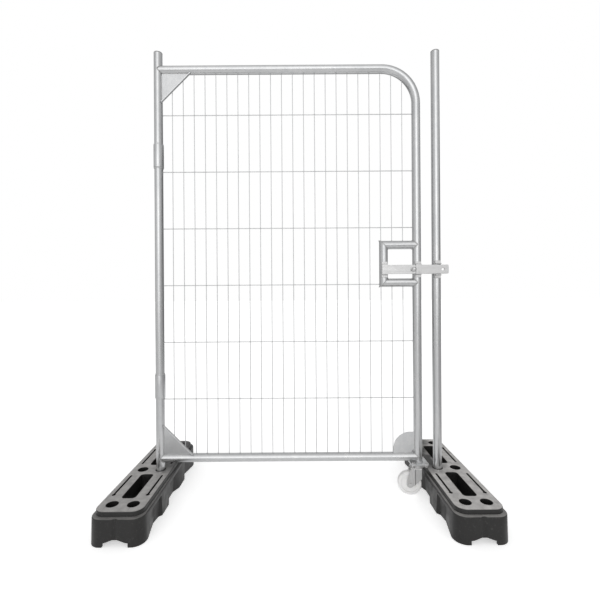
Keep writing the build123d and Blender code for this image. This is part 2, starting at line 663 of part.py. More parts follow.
# Castor head plate with the upper ball track, its dust skirt and the recess for the kingpin head
skirt_in = CROWN_RADIUS + SKIRT_GAP
skirt_out = skirt_in + SKIRT_THICKNESS
recess_r = KINGPIN_HEAD_DIA / 2 + KINGPIN_RECESS_GAP
recess_z = MOUNT_PLATE_Z - KINGPIN_HEAD_HEIGHT - SEAT_GAP
with BuildPart() as castor_top_plate:
    with BuildSketch(Plane((LOCK_X, 0, TOP_PLATE_Z))):
        RectangleRounded(PLATE_LENGTH, PLATE_WIDTH, PLATE_CORNER)
        with GridLocations(BOLT_SPACING_X, BOLT_SPACING_Y, 2, 2):
            Circle(BOLT_HOLE_DIA / 2, mode=Mode.SUBTRACT)
    extrude(amount=TOP_PLATE_THICKNESS)
    with BuildSketch(Plane((LOCK_X, 0, RACE_Z))):
        Circle(skirt_out)
    extrude(amount=RACE_DEPTH)
    with BuildSketch(Plane((LOCK_X, 0, RACE_Z - SKIRT_DROP))):
        Circle(skirt_out)
        Circle(skirt_in, mode=Mode.SUBTRACT)
    extrude(amount=SKIRT_DROP)
    with Locations((LOCK_X, 0, BALL_Z)):
        Torus(RACE_RADIUS, TRACK_R, mode=Mode.SUBTRACT)
    with BuildSketch(Plane((LOCK_X, 0, recess_z))):
        Circle(recess_r)
    extrude(amount=MOUNT_PLATE_Z - recess_z, mode=Mode.SUBTRACT)
    with BuildSketch(Plane((LOCK_X, 0, RACE_Z))):
        Circle(KINGPIN_DIA / 2 + KINGPIN_GAP)
    extrude(amount=RACE_DEPTH, mode=Mode.SUBTRACT)
pieces["castor_top_plate"] = castor_top_plate.part

# Bolts and nuts through the two plates
bolt_base = Plane((LOCK_X, 0, TOP_PLATE_Z - NUT_HEIGHT - BOLT_TAIL))
bolt_head = hex_blank(Plane.XY, BOLT_HEAD_FLATS, BOLT_HEAD_HEIGHT)
plate_nut = hex_blank(Plane.XY, BOLT_HEAD_FLATS, NUT_HEIGHT)
with BuildPart() as castor_bolts:
    with BuildSketch(bolt_base):
        with GridLocations(BOLT_SPACING_X, BOLT_SPACING_Y, 2, 2):
            Circle(BOLT_DIA / 2)
    extrude(amount=STILE_END_Z - bolt_base.origin.Z)
    with Locations(Plane((LOCK_X, 0, STILE_END_Z))):
        with GridLocations(BOLT_SPACING_X, BOLT_SPACING_Y, 2, 2):
            add(bolt_head)
pieces["castor_bolts"] = castor_bolts.part

with BuildPart() as castor_nuts:
    with Locations(Plane((LOCK_X, 0, TOP_PLATE_Z - NUT_HEIGHT))):
        with GridLocations(BOLT_SPACING_X, BOLT_SPACING_Y, 2, 2):
            add(plate_nut)
    with BuildSketch(bolt_base):
        with GridLocations(BOLT_SPACING_X, BOLT_SPACING_Y, 2, 2):
            Circle(BOLT_DIA / 2 + WELD_GAP)
    extrude(amount=STILE_END_Z - bolt_base.origin.Z, mode=Mode.SUBTRACT)
pieces["castor_nuts"] = castor_nuts.part

# Kingpin, with its head in the plate's recess and its nut under the fork
nut_z = FORK_WEB_Z - SEAT_GAP - KINGPIN_NUT_HEIGHT
with BuildPart() as castor_kingpin:
    with BuildSketch(Plane((LOCK_X, 0, recess_z))):
        Circle(KINGPIN_HEAD_DIA / 2)
    extrude(amount=KINGPIN_HEAD_HEIGHT)
    with BuildSketch(Plane((LOCK_X, 0, nut_z))):
        Circle(KINGPIN_DIA / 2)
    extrude(amount=recess_z - nut_z)
pieces["castor_kingpin"] = castor_kingpin.part

kingpin_nut = hex_blank(Plane((LOCK_X, 0, nut_z)), KINGPIN_NUT_FLATS, KINGPIN_NUT_HEIGHT)
with BuildPart() as castor_kingpin_nut:
    add(kingpin_nut)
    with Locations((LOCK_X, 0, nut_z)):
        Cylinder(KINGPIN_DIA / 2 + WELD_GAP, 4 * KINGPIN_NUT_HEIGHT, mode=Mode.SUBTRACT)
pieces["castor_kingpin_nut"] = castor_kingpin_nut.part

# Balls of the swivel, evenly spaced in the two tracks
with BuildPart() as castor_race_balls:
    with Locations(Plane((LOCK_X, 0, BALL_Z))):
        with PolarLocations(RACE_RADIUS, BALL_COUNT):
            Sphere(BALL_DIA / 2)
pieces["castor_race_balls"] = castor_race_balls.part

# Fork: a ribbed U section cut to its side outline, under a round crown with the lower ball track
rib_r = (FORK_RIB_WIDTH**2 / 4 + FORK_RIB_HEIGHT**2) / (2 * FORK_RIB_HEIGHT)
rib_offset = FORK_OUTER / 2 + FORK_RIB_HEIGHT - rib_r
with BuildPart() as castor_fork:
    with BuildSketch(FORK_END_PLANE) as fork_outside:
        with Locations((0, CROWN_Z)):
            Rectangle(FORK_OUTER, CROWN_Z, align=(Align.CENTER, Align.MAX))
        fillet(fork_outside.vertices().group_by(Axis.Y)[-1], FORK_BEND)
    extrude(amount=FORK_REACH, both=True)
    with Locations(Plane((LOCK_X, 0, 0), x_dir=TRAIL_DIRECTION)):
        with Locations((FORK_RIB_PLACE, rib_offset, 0), (FORK_RIB_PLACE, -rib_offset, 0)):
            Cylinder(rib_r, CROWN_Z - FORK_BEND, align=(Align.CENTER, Align.CENTER, Align.MIN))
    with BuildSketch(FORK_END_PLANE) as fork_inside:
        with Locations((0, FORK_WEB_Z)):
            Rectangle(FORK_INNER, FORK_WEB_Z, align=(Align.CENTER, Align.MAX))
        fillet(fork_inside.vertices().group_by(Axis.Y)[-1], FORK_BEND - FORK_THICKNESS)
    extrude(amount=FORK_REACH, both=True, mode=Mode.SUBTRACT)
    with BuildSketch(FORK_SIDE_PLANE):
        with Locations((TRAIL, AXLE_Z)):
            Circle(FORK_END_RADIUS)
        with Locations(((FORK_BACK - FORK_FRONT) / 2, CROWN_Z)):
            Rectangle(FORK_FRONT + FORK_BACK, FORK_SHOULDER, align=(Align.CENTER, Align.MAX))
        make_hull()
    extrude(amount=FORK_OUTER, both=True, mode=Mode.INTERSECT)
    with BuildSketch(Plane((LOCK_X, 0, CROWN_Z))):
        Circle(CROWN_RADIUS)
    extrude(amount=CROWN_THICKNESS)
    with Locations((LOCK_X, 0, BALL_Z)):
        Torus(RACE_RADIUS, TRACK_R, mode=Mode.SUBTRACT)
    with Locations((LOCK_X, 0, CROWN_Z)):
        Cylinder(KINGPIN_DIA / 2 + KINGPIN_GAP, 4 * CROWN_THICKNESS, mode=Mode.SUBTRACT)
    with BuildSketch(AXLE_PLANE):
        Circle(AXLE_DIA / 2 + AXLE_GAP)
    extrude(amount=FORK_OUTER, both=True, mode=Mode.SUBTRACT)
pieces["castor_fork"] = castor_fork.part

# Axle bolt and nut through the fork's cheeks
axle_head = hex_blank(AXLE_PLANE.offset(FORK_OUTER / 2), AXLE_HEAD_FLATS, AXLE_HEAD_HEIGHT)
with BuildPart() as castor_axle_bolt:
    with BuildSketch(AXLE_PLANE.offset(FORK_OUTER / 2)):
        Circle(AXLE_DIA / 2)
    extrude(amount=-FORK_OUTER - AXLE_NUT_HEIGHT - AXLE_TAIL)
    add(axle_head)
pieces["castor_axle_bolt"] = castor_axle_bolt.part

axle_nut_plane = Plane(AXLE_CENTRE, x_dir=TRAIL_DIRECTION, z_dir=AXLE_DIRECTION * -1).offset(FORK_OUTER / 2)
axle_nut = hex_blank(axle_nut_plane, AXLE_HEAD_FLATS, AXLE_NUT_HEIGHT)
with BuildPart() as castor_axle_nut:
    add(axle_nut)
    with BuildSketch(axle_nut_plane):
        Circle(AXLE_DIA / 2 + WELD_GAP)
    extrude(amount=AXLE_NUT_HEIGHT, mode=Mode.SUBTRACT)
pieces["castor_axle_nut"] = castor_axle_nut.part

# Bush that the wheel runs on, clamped between the fork's cheeks
with BuildPart() as castor_axle_bush:
    with BuildSketch(AXLE_PLANE):
        Circle(BUSH_OD / 2)
        Circle(AXLE_DIA / 2 + AXLE_GAP, mode=Mode.SUBTRACT)
    extrude(amount=FORK_INNER / 2, both=True)
pieces["castor_axle_bush"] = castor_axle_bush.part

# Wheel: half of its section, turned about the axle, with a hub, a thin web and a round-shouldered tread
with BuildPart() as castor_wheel:
    bore_r = BUSH_OD / 2 + BUSH_RUNNING_GAP
    tread_r = WHEEL_DIA / 2
    rim_r = tread_r - WHEEL_RIM
    with BuildSketch(Plane(AXLE_CENTRE, x_dir=TRAIL_DIRECTION, z_dir=(0, 0, 1))) as wheel_section:
        with BuildLine():
            Polyline(
                (bore_r, 0),
                (bore_r, HUB_LENGTH / 2),
                (HUB_DIA / 2, HUB_LENGTH / 2),
                (HUB_DIA / 2, WHEEL_WEB / 2),
                (rim_r, WHEEL_WEB / 2),
                (rim_r, WHEEL_WIDTH / 2),
                (tread_r, WHEEL_WIDTH / 2),
                (tread_r, 0),
                close=True,
            )
        make_face()
        fillet(wheel_section.vertices().group_by(Axis.X)[-1].sort_by(Axis.Y)[-1], WHEEL_SHOULDER)
        mirror(about=Plane.XZ)
    revolve(axis=Axis(AXLE_CENTRE, AXLE_DIRECTION))
pieces["castor_wheel"] = castor_wheel.part

os.makedirs("parts", exist_ok=True)
for name, piece in pieces.items():
    piece.label = name
    export_step(piece, "parts/" + name + ".step")
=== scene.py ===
import json
from itertools import product
from math import cos, pi, radians, sin, sqrt, tan

import bmesh
import bpy
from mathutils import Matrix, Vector


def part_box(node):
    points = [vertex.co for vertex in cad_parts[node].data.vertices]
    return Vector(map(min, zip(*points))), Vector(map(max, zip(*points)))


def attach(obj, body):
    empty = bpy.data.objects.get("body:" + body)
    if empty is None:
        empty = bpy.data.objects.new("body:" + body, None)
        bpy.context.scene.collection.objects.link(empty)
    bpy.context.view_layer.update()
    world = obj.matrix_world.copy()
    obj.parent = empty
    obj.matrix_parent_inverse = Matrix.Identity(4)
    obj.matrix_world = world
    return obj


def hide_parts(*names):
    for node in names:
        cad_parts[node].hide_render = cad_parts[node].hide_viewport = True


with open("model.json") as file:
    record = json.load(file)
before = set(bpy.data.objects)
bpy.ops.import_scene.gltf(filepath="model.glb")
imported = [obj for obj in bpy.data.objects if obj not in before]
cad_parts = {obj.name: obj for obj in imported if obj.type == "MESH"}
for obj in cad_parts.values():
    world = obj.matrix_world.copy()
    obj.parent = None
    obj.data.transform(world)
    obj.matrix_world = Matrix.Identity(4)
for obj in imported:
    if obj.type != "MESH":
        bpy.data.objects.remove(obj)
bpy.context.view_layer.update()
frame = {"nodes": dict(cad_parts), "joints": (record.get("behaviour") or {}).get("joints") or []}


def middle(node):
    """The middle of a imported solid's box."""
    low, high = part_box(node)
    return (low + high) / 2


# How finely round forms are drawn, and the angles past which an edge is sharp
TUBE_SIDES = 48
CUT_SIDES = 32
WHEEL_SIDES = 72
NUGGET_SIDES = 10
ARC_STEPS = 6
EDGE_STEPS = 4
BEVEL_SEGMENTS = 2
SMOOTH_ANGLE = radians(35)
REFINED_ANGLE = radians(30)
BALL_ANGLE = radians(60)
FLAT_ANGLE = radians(0.5)
SAME_POINT = 1e-6

# Tubes and the layout of the gate
TUBE_R = 0.019
BORE_R = 0.017
COPE_R = 0.01905
BEND_RADIUS = 0.155
BEND_STEPS = 24
HINGE_X = middle("hinge_stile").x
LATCH_X = middle("latch_post").x
LOCK_X = middle("castor_mount_plate").x
WINDOW_X = middle("window_bolt_guide").x
POST_TOP_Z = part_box("latch_post")[1].z
POST_BASE_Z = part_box("latch_post")[0].z
STILE_BASE_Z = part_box("hinge_stile")[0].z
STILE_END_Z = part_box("castor_mount_plate")[1].z
TOP_RAIL_Z = 1.921
BOTTOM_RAIL_Z = 0.172
WINDOW_UPPER_Z = 1.126
WINDOW_LOWER_Z = 0.956

# Tube end plugs
CAP_RIM = 0.005
CAP_ROUND = 0.0025
CAP_PLUG = 0.014
CAP_FIT = 0.00015
CAP_GROOVE = 0.0004
CAP_RING_R = 0.0105

# Turning sleeves and their stop rings
SLEEVE_R = 0.02225
SLEEVE_BORE_R = 0.0193
SLEEVE_LENGTH = 0.102
STOP_RING_R = 0.021
STOP_RING_HEIGHT = 0.004
STOP_RING_OFFSET = 0.0534
SLEEVE_EDGE = 0.0008
STOP_RING_EDGE = 0.0007
SLEEVE_BODIES = {"upper_hinge_sleeve": "upper_sleeve", "lower_hinge_sleeve": "lower_sleeve"}

# Wire mesh
UPRIGHT_WIRES = 22
UPRIGHT_WIRE_R = 0.0015
WIRE_MARGIN = 0.063
CROSS_WIRES = 6
CROSS_WIRE_R = 0.002
CROSS_WIRE_Y = 0.0035
TOP_WIRE_DROP = 0.2025
BOTTOM_WIRE_RISE = 0.264
WIRE_SIDES = 14
NUGGET_R = 0.0023
NUGGET_HEIGHT = 0.0011
NUGGET_TURNS = [radians(turn) for turn in (-60, -25, 0, 25, 60)]
END_WELD_R = 0.0031
END_WELD_HEIGHT = 0.0014

# Corner plates
GUSSET_THICKNESS = 0.004
GUSSET_LEG = 0.132
GUSSET_LIP = 0.011
GUSSET_SETBACK = 0.004
GUSSET_FRONT_Y = -GUSSET_SETBACK - GUSSET_THICKNESS
GUSSET_FOLD = 0.0062
GUSSET_EDGE = 0.0006
GUSSET_CLIP = 0.0015
QUARTER_SIZE = 0.093
QUARTER_RADIUS = 0.075
QUARTER_STEPS = 24
QUARTER_CLIP = 0.013

# Sliding bolt, guides, keeper and knob
BAR_X = middle("latch_bar").x
BAR_Z = middle("latch_bar").z
BAR_RIGHT_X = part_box("latch_bar")[1].x
BAR_HALF_HEIGHT = 0.02
BAR_BACK_Y = -0.0194
BAR_FRONT_Y = -0.0274
BAR_CORNER = 0.006
BAR_EDGE = 0.0008
PADLOCK_HOLE_R = 0.0065
PADLOCK_HOLE_INSET = 0.025
GUIDE_HALF_WIDTH = 0.0125
GUIDE_THICKNESS = 0.004
GUIDE_HALF_HEIGHT = 0.035
GUIDE_GAP = 0.0004
KEEPER_GAP = 0.0025
KEEPER_HALF_HEIGHT = 0.039
KEEPER_REACH = 0.013
KEEPER_FLARE = 0.0015
FLANGE_Y = -TUBE_R - GUIDE_THICKNESS
STRAP_FOLD = 0.0036
STRAP_EDGE = 0.0007
STRAP_SIDE_EDGE = 0.0005
KNOB_X = middle("latch_knob").x
KNOB_R = 0.01
KNOB_WAIST_R = 0.0065
KNOB_COLLAR = 0.005
KNOB_WAIST = 0.005
KNOB_HEAD = 0.009
KNOB_EDGE = 0.0009
KNOB_FLARE = 60
KNOB_STEPS = 12

# Moulded feet
FOOT_HALF_WIDTH = 0.1015
FOOT_HALF_LENGTH = 0.349
FOOT_HEIGHT = 0.12
SHELF_Z = 0.101
FOOT_CORNER = 0.045
FOOT_STEPS = 10
FOOT_DRAFT = radians(1.2)
FOOT_EDGE = 0.005
FOOT_SOLE_EDGE = 0.0015
DECK_INSET = 0.0115
DECK_SETBACK = 0.0055
DECK_CORNER = 0.04
DECK_EDGE = 0.004
DECK_EDGE_STEPS = 5
DECK_ROOT = 0.0015
DECK_ROOT_STEPS = 3
END_DIP = 0.005
END_DIP_HALF_WIDTH = 0.014
END_DIP_STEPS = 16
SOCKET_R = 0.022
SOCKET_FLOOR = 0.012
SOCKET_X = 0.04
SOCKET_Y = 0.281
SLOT_HALF_WIDTH = 0.027
SLOT_HALF_LENGTH = 0.0975
SLOT_Y = 0.1425
SLOT_CORNER = 0.014
SLOT_STEPS = 8
SLIT_HALF_WIDTH = 0.0035
SLIT_CORNER = 0.00343
SLIT_HALF_LENGTH = 0.083
SLIT_X = 0.067
SLIT_Y = 0.138
SLIT_FLOOR = 0.092
SLIT_EYE_R = 0.0065
SLIT_EYE_Y = 0.2145
POCKET_HALF_MOUTH = 0.12
POCKET_HALF_FLOOR = 0.03
POCKET_HEIGHT = 0.084
POCKET_DEPTH = 0.018
POCKET_ROUND = 0.008
POCKET_DRAFT = radians(3)
END_POCKET_START_Y = 0.399
END_POCKET_FLANK_Y = 0.203
END_POCKET_STEP_Y = 0.161
END_POCKET_END_Y = 0.137
END_POCKET_SHALLOW = 0.013
END_POCKET_ROUND = 0.003
NOTCH_HALF_WIDTH = 0.0475
NOTCH_SIDE = 0.016
NOTCH_RISE = 0.012
NOTCH_DEPTH = 0.043
NOTCH_STEPS = 20
CORE_Y = 0.3215
CORE_HALF_DEPTH = 0.0155
CORE_HALF_WIDTH = 0.0655
CORE_HEIGHT = 0.032
CORE_CORNER = 0.008
RIM_FLARE = 0.0022
CUT_OVER = 0.012

# Dust on the feet, and painted shade: the inner back of each deck, behind the gate, keeps little dust
SHELF_DUST = 0.45
PAINTED_SHADE_DUST = 0.06
PAINTED_SHADE_ACROSS = (0.62, 0.69)
PAINTED_SHADE_DEEP = (-0.07, 0.03)

# Castor
WHEEL_CENTRE = middle("castor_wheel")
AXLE_DIRECTION = Vector(next(j for j in frame["joints"] if j["name"] == "wheel_spin")["axis"])
WHEEL_R = 0.052
WHEEL_HALF_WIDTH = 0.015
WHEEL_SHOULDER = 0.006
SHOULDER_STEPS = 8
WHEEL_HALF_WEB = 0.01
WHEEL_RIM_R = 0.039
HUB_R = 0.017
HUB_HALF_LENGTH = 0.018
BUSH_R = 0.00705
WHEEL_EDGE = 0.0007
WHEEL_ROOT = 0.002
GRIME_START_R = 0.048
GRIME_FULL_R = 0.053
PLATE_EDGE = 0.0006
FORK_EDGE = 0.0007
FASTENER_EDGE = 0.0003

# Weld beads
BEAD_STEP = 0.0008
BEAD_SIDES = 10
BEAD_RIPPLE = 3.4
BEAD_FULLNESS = 0.82
BEAD_PROUD = 0.0006
RAIL_BEAD_R = 0.0024
MITRE_BEAD_R = 0.0018
GUSSET_BEAD_R = 0.002
FLANGE_BEAD_R = 0.0026
FLANGE_BEAD_Y = -0.0178
RING_BEAD_R = 0.0011
GUSSET_WELD_START = 0.006
GUSSET_WELD_END = 0.014

# Where most of a noise lies, and how far up a surface faces to hold dust and its painted top-lit sheen
MOST = (0.3, 0.7)
UPWARD = (0.55, 0.95)

# Stage; a fade of the floor has a direction, a start, an end and the share that is left there
FLOOR_SHADE = 0.92
FLOOR_MOTTLE = 0.985
FLOOR_ROUGHNESS = 0.8
FLOOR_BOUNCE = 0.7
FLOOR_GLOW = 0.52
FLOOR_LIFT = 0.34
FLOOR_REACH = 60.0
FLOOR_FADES = (("X", -0.8, -1.6, 0.8), ("X", 0.8, 1.6, 0.55), ("Y", 1.5, 4.0, 0.4))
WALLS = {
    "X": ((0.0, 0.4), (0.22, 0.46), (0.4, 1.3), (0.58, 1.25), (0.76, 0.42), (1.0, 0.34)),
    "Y": ((0.0, 1.25), (0.5, 0.85), (0.7, 0.5), (1.0, 0.45)),
    "Z": ((0.0, 1.0), (0.5, 1.0), (0.7, 0.8), (1.0, 0.32)),
}
SUN_STRENGTH = 1.05
SUN_SPREAD = radians(180)
SUN_HEADING = (0.3, 0.4, -1.0)
CAMERA_LENS = 22.44
CAMERA_SHIFT = (2 / 600, -5 / 600)
CAMERA_PLACE = (0.0, -1.69, 0.903)
CAMERA_ROLL = radians(-0.38)


# Outlines and shells


def evenly(start, end, count):
    """Even places from a start to an end."""
    return [start + (end - start) * k / (count - 1) for k in range(count)]


def circle(radius, sides):
    """Points of a circle, as pairs."""
    turn = 2 * pi / sides
    return [(radius * cos(turn * k), radius * sin(turn * k)) for k in range(sides)]


def arc(u, v, radius, start, end, steps=ARC_STEPS):
    """Points of an arc round (u, v), between two angles in degrees."""
    turns = evenly(radians(start), radians(end), steps + 1)
    return [(u + radius * cos(turn), v + radius * sin(turn)) for turn in turns]


def rounded(corners, steps=ARC_STEPS):
    """A closed outline of (u, v, radius) corners, with an arc where the radius isn't 0."""
    outline = []
    for k, (u, v, radius) in enumerate(corners):
        here = Vector((u, v))
        if radius == 0:
            outline.append((u, v))
            continue
        before = (Vector(corners[k - 1][:2]) - here).normalized()
        after = (Vector(corners[(k + 1) % len(corners)][:2]) - here).normalized()
        half = before.angle(after) / 2
        centre = here + (before + after).normalized() * radius / sin(half)
        start = here + before * radius / tan(half) - centre
        sweep = start.angle_signed(here + after * radius / tan(half) - centre)
        for turn in evenly(0, -sweep, steps + 1):
            c, s = cos(turn), sin(turn)
            outline.append((centre.x + start.x * c - start.y * s, centre.y + start.x * s + start.y * c))
    return outline


def rounded_box(u, v, half_width, half_length, corner, steps=ARC_STEPS):
    """The outline of a box about (u, v), with rounded corners."""
    right, left, near, far = u + half_width, u - half_width, v - half_length, v + half_length
    corners = ((right, near), (right, far), (left, far), (left, near))
    return rounded([(*place, corner) for place in corners], steps)


def mirrored(corners):
    """Corners followed by their mirror image across v = 0."""
    return corners + [(u, -v, radius) for u, v, radius in corners[::-1]]


def skin(rings, loop=False):
    """A shell through rings of equal length, closed by end caps or as a loop of rings."""
    count = len(rings[0])
    verts = [point for ring in rings for point in ring]
    faces = []
    for here in range(len(rings) if loop else len(rings) - 1):
        there = (here + 1) % len(rings)
        for k in range(count):
            n = (k + 1) % count
            faces.append((here * count + k, here * count + n, there * count + n, there * count + k))
    if not loop:
        faces.append(tuple(range(count)))
        faces.append(tuple(range(len(verts) - count, len(verts))))
    return verts, faces


def join(shells):
    """Several shells as one."""
    verts, faces = [], []
    for shell_verts, shell_faces in shells:
        faces += [tuple(len(verts) + k for k in face) for face in shell_faces]
        verts += shell_verts
    return verts, faces


def prism(outline, place, ends):
    """A shell swept between two depths, with place(u, v, depth) giving each point."""
    return skin([[place(u, v, depth) for u, v in outline] for depth in ends])


def revolve(profile, origin, axis, sides=TUBE_SIDES, loop=False):
    """A turned solid of (radius, height) points: a closed section, or one that ends on the axis."""
    origin, axis = Vector(origin), Vector(axis).normalized()
    side = axis.orthogonal().normalized()
    across = axis.cross(side)
    rings = []
    for radius, height in profile if loop else profile[1:-1]:
        rings.append([origin + axis * height + side * c + across * s for c, s in circle(radius, sides)])
    verts, faces = skin(rings, loop)
    if loop:
        return verts, faces
    last = len(verts) - sides
    tip = len(verts)
    verts += [origin + axis * profile[end][1] for end in (0, -1)]
    faces = faces[:-2]
    for k in range(sides):
        n = (k + 1) % sides
        faces += [(tip, n, k), (tip + 1, last + k, last + n)]
    return verts, faces


# Meshes and pieces


def add_object(name, data):
    """A new object in the scene."""
    item = bpy.data.objects.new(name, data)
    bpy.context.scene.collection.objects.link(item)
    return item


def face_outwards(mesh, clean=False):
    """Turns a mesh's faces outwards; clean makes its flat faces whole first."""
    work = bmesh.new()
    work.from_mesh(mesh)
    if clean:
        bmesh.ops.remove_doubles(work, verts=work.verts, dist=SAME_POINT)
        bmesh.ops.dissolve_limit(work, angle_limit=FLAT_ANGLE, verts=work.verts, edges=work.edges)
    bmesh.ops.recalc_face_normals(work, faces=work.faces)
    work.to_mesh(mesh)
    work.free()


def mesh_of(name, shell):
    """A shell as a mesh."""
    mesh = bpy.data.meshes.new(name)
    verts, faces = shell
    mesh.from_pydata([tuple(v) for v in verts], [], faces)
    face_outwards(mesh)
    return mesh


def carve(shell, *groups):
    """The shell less each group of cutters."""
    body = add_object("carved", mesh_of("carved", shell))
    used = [body.data]
    for group in groups:
        cut = body.modifiers.new("cut", "BOOLEAN")
        cut.operation = "DIFFERENCE"
        cut.solver = "EXACT"
        cut.object = add_object("cutter", mesh_of("cutter", join(group)))
        used.append(cut.object.data)
    result = bpy.data.meshes.new_from_object(body.evaluated_get(bpy.context.evaluated_depsgraph_get()))
    verts = [vertex.co.copy() for vertex in result.vertices]
    faces = [tuple(face.vertices) for face in result.polygons]
    for mesh in (*used, result):
        bpy.data.meshes.remove(mesh)
    return verts, faces


def add_piece(name, mesh, look, body, *replaced, slot=None, edge=0.0, smooth=SMOOTH_ANGLE):
    """A mesh as a piece, with its look, body and the size of its edges, hiding the solids it stands for; its
    slot is worked out but not given to it.
    """
    mesh.name = name
    mesh.materials.clear()
    mesh.materials.append(look.material)
    mesh.shade_smooth()
    mesh.set_sharp_from_angle(angle=smooth)
    piece = add_object(name, mesh)
    if edge:
        bevel = piece.modifiers.new("edge", "BEVEL")
        bevel.width = edge
        bevel.segments = BEVEL_SEGMENTS
        bevel.limit_method = "ANGLE"
        bevel.angle_limit = smooth
        piece.modifiers.new("normals", "WEIGHTED_NORMAL")
    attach(piece, body)
    slot or look.name
    if replaced:
        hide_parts(*replaced)


def new_piece(name, shell, look, body, *replaced, **details):
    """A shell as a piece."""
    add_piece(name, mesh_of(name, shell), look, body, *replaced, **details)


def refined(part, look, body, edge, smooth=REFINED_ANGLE):
    """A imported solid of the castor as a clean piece."""
    node = "castor_" + part
    mesh = frame["nodes"][node].data.copy()
    face_outwards(mesh, clean=True)
    add_piece(node + "_finished", mesh, look, body, node, edge=edge, smooth=smooth)


# Looks of the materials


class NodeTree:
    """Short calls for the nodes of a look or of the room."""

    def __init__(self, tree):
        self.tree = tree

    def feed(self, socket, value):
        """Links a socket to an output, or sets its own value."""
        if isinstance(value, bpy.types.NodeSocket):
            self.tree.links.new(value, socket)
        else:
            socket.default_value = value

    def node(self, kind, *inputs, operation=None, **sockets):
        """A new node, with its inputs fed in their order or by name."""
        node = self.tree.nodes.new("ShaderNode" + kind)
        if operation:
            node.operation = operation
        for socket, value in zip(node.inputs, inputs):
            self.feed(socket, value)
        for name, value in sockets.items():
            self.feed(node.inputs[name], value)
        return node

    def parts(self, vector):
        """The X, Y and Z of a vector."""
        return self.node("SeparateXYZ", vector).outputs

    def remap(self, value, low, high, to_low, to_high):
        """A value carried from one range to another, held at its ends."""
        return self.node("MapRange", value, low, high, to_low, to_high).outputs["Result"]

    def times(self, first, second):
        """Two values multiplied."""
        return self.node("Math", first, second, operation="MULTIPLY").outputs["Value"]


class Look(NodeTree):
    """A material round one shader, with its textures in object coordinates."""

    def __init__(self, name, metallic=0.0):
        self.name = name
        self.material = bpy.data.materials.new(name)
        self.material.use_nodes = True
        super().__init__(self.material.node_tree)
        self.shader = self.tree.nodes["Principled BSDF"].inputs
        self.shade({"Metallic": metallic})
        self.place = self.node("TexCoord").outputs["Object"]

    def shade(self, sockets):
        """Links or sets sockets of the shader, by name."""
        for name, value in sockets.items():
            self.feed(self.shader[name], value)

    def coat(self, colour, roughness, normal):
        """The look with its colour, roughness and normal."""
        self.shade({"Base Color": colour, "Roughness": roughness, "Normal": normal})
        return self

    def stretched(self, stretch):
        """Object coordinates scaled along each axis."""
        return self.node("Mapping", Vector=self.place, Scale=stretch).outputs["Vector"]

    def noise(self, scale, detail=3.0, stretch=(1, 1, 1)):
        """Smooth noise from 0 to 1."""
        place = self.stretched(stretch)
        return self.node("TexNoise", Vector=place, Scale=scale, Detail=detail).outputs["Fac"]

    def cells(self, scale, stretch=(1, 1, 1)):
        """A random value in each cell of a crystal pattern."""
        return self.node("TexVoronoi", Vector=self.stretched(stretch), Scale=scale).outputs["Color"]

    def spread(self, noise, low, high):
        """A noise spread between two values."""
        return self.remap(noise, *MOST, low, high)

    def mix(self, factor, first, second):
        """A blend of two colours."""
        node = self.node("Mix")
        node.data_type = "RGBA"
        for name, value in (("Factor", factor), ("A", first), ("B", second)):
            self.feed(node.inputs[name], value)
        return node.outputs["Result"]

    def patches(self, base, noise, start, full, share, colour):
        """A base with up to a share of a colour, as a noise rises from a start to a full value."""
        return self.mix(self.remap(noise, start, full, 0.0, share), base, colour)

    def bump(self, height, strength, distance, under=None):
        """A surface normal from a height, laid over another one."""
        node = self.node("Bump", Height=height, Strength=strength, Distance=distance)
        if under:
            self.feed(node.inputs["Normal"], under)
        return node.outputs["Normal"]


def grey(value, warmth=0.0):
    """A near-neutral colour."""
    return (value * (1 + warmth), value, value * (1 - warmth), 1.0)


def galvanised(name, shade, spangle, stretch, roughness):
    """Hot-dip zinc: crystal spangle, a cloudy dull veil, drawn streaks and a fine skin."""
    look = Look(name, metallic=1.0)
    crystals = look.cells(spangle, stretch)
    clouds = look.noise(6.0, detail=5.0)
    streaks = look.noise(90.0, detail=2.0, stretch=(1, 1, 0.03))
    zinc = look.mix(crystals, grey(shade * 0.95, -0.012), grey(shade * 1.04, -0.004))
    dulled = look.patches(zinc, clouds, start=0.42, full=0.72, share=0.4, colour=grey(shade * 0.86, -0.02))
    lined = look.patches(dulled, streaks, start=0.55, full=0.8, share=0.14, colour=grey(shade * 0.7))
    gloss = look.spread(clouds, roughness - 0.03, roughness + 0.05)
    fine = look.bump(look.noise(420.0, detail=4.0), strength=0.03, distance=0.0004)
    return look.coat(lined, gloss, look.bump(crystals, strength=0.015, distance=0.0003, under=fine))


def brushed(name, shade, stretch, roughness, warmth=0.0, metallic=1.0):
    """Zinc-plated steel: fine brushing one way and faint stains."""
    look = Look(name, metallic)
    brush = look.noise(70.0, detail=4.0, stretch=stretch)
    stains = look.noise(38.0, detail=4.0)
    plated = look.mix(brush, grey(shade * 0.86, warmth), grey(shade * 1.05, warmth))
    dull = grey(shade * 0.68, 0.015)
    stained = look.patches(plated, stains, start=0.56, full=0.74, share=0.35, colour=dull)
    gloss = look.spread(brush, roughness - 0.07, roughness + 0.1)
    return look.coat(stained, gloss, look.bump(brush, strength=0.1, distance=0.0003))


def weld_metal():
    """Galvanised weld beads: duller than the tube and pitted, with darker stretches."""
    look = Look("weld_metal", metallic=1.0)
    pits = look.noise(520.0, detail=4.0)
    tint = look.noise(60.0)
    beads = look.mix(pits, grey(0.44), grey(0.66))
    tinted = look.patches(beads, tint, start=0.5, full=0.75, share=0.5, colour=grey(0.36, 0.03))
    rough = look.bump(pits, strength=0.3, distance=0.0004)
    return look.coat(tinted, look.spread(pits, 0.4, 0.62), rough)


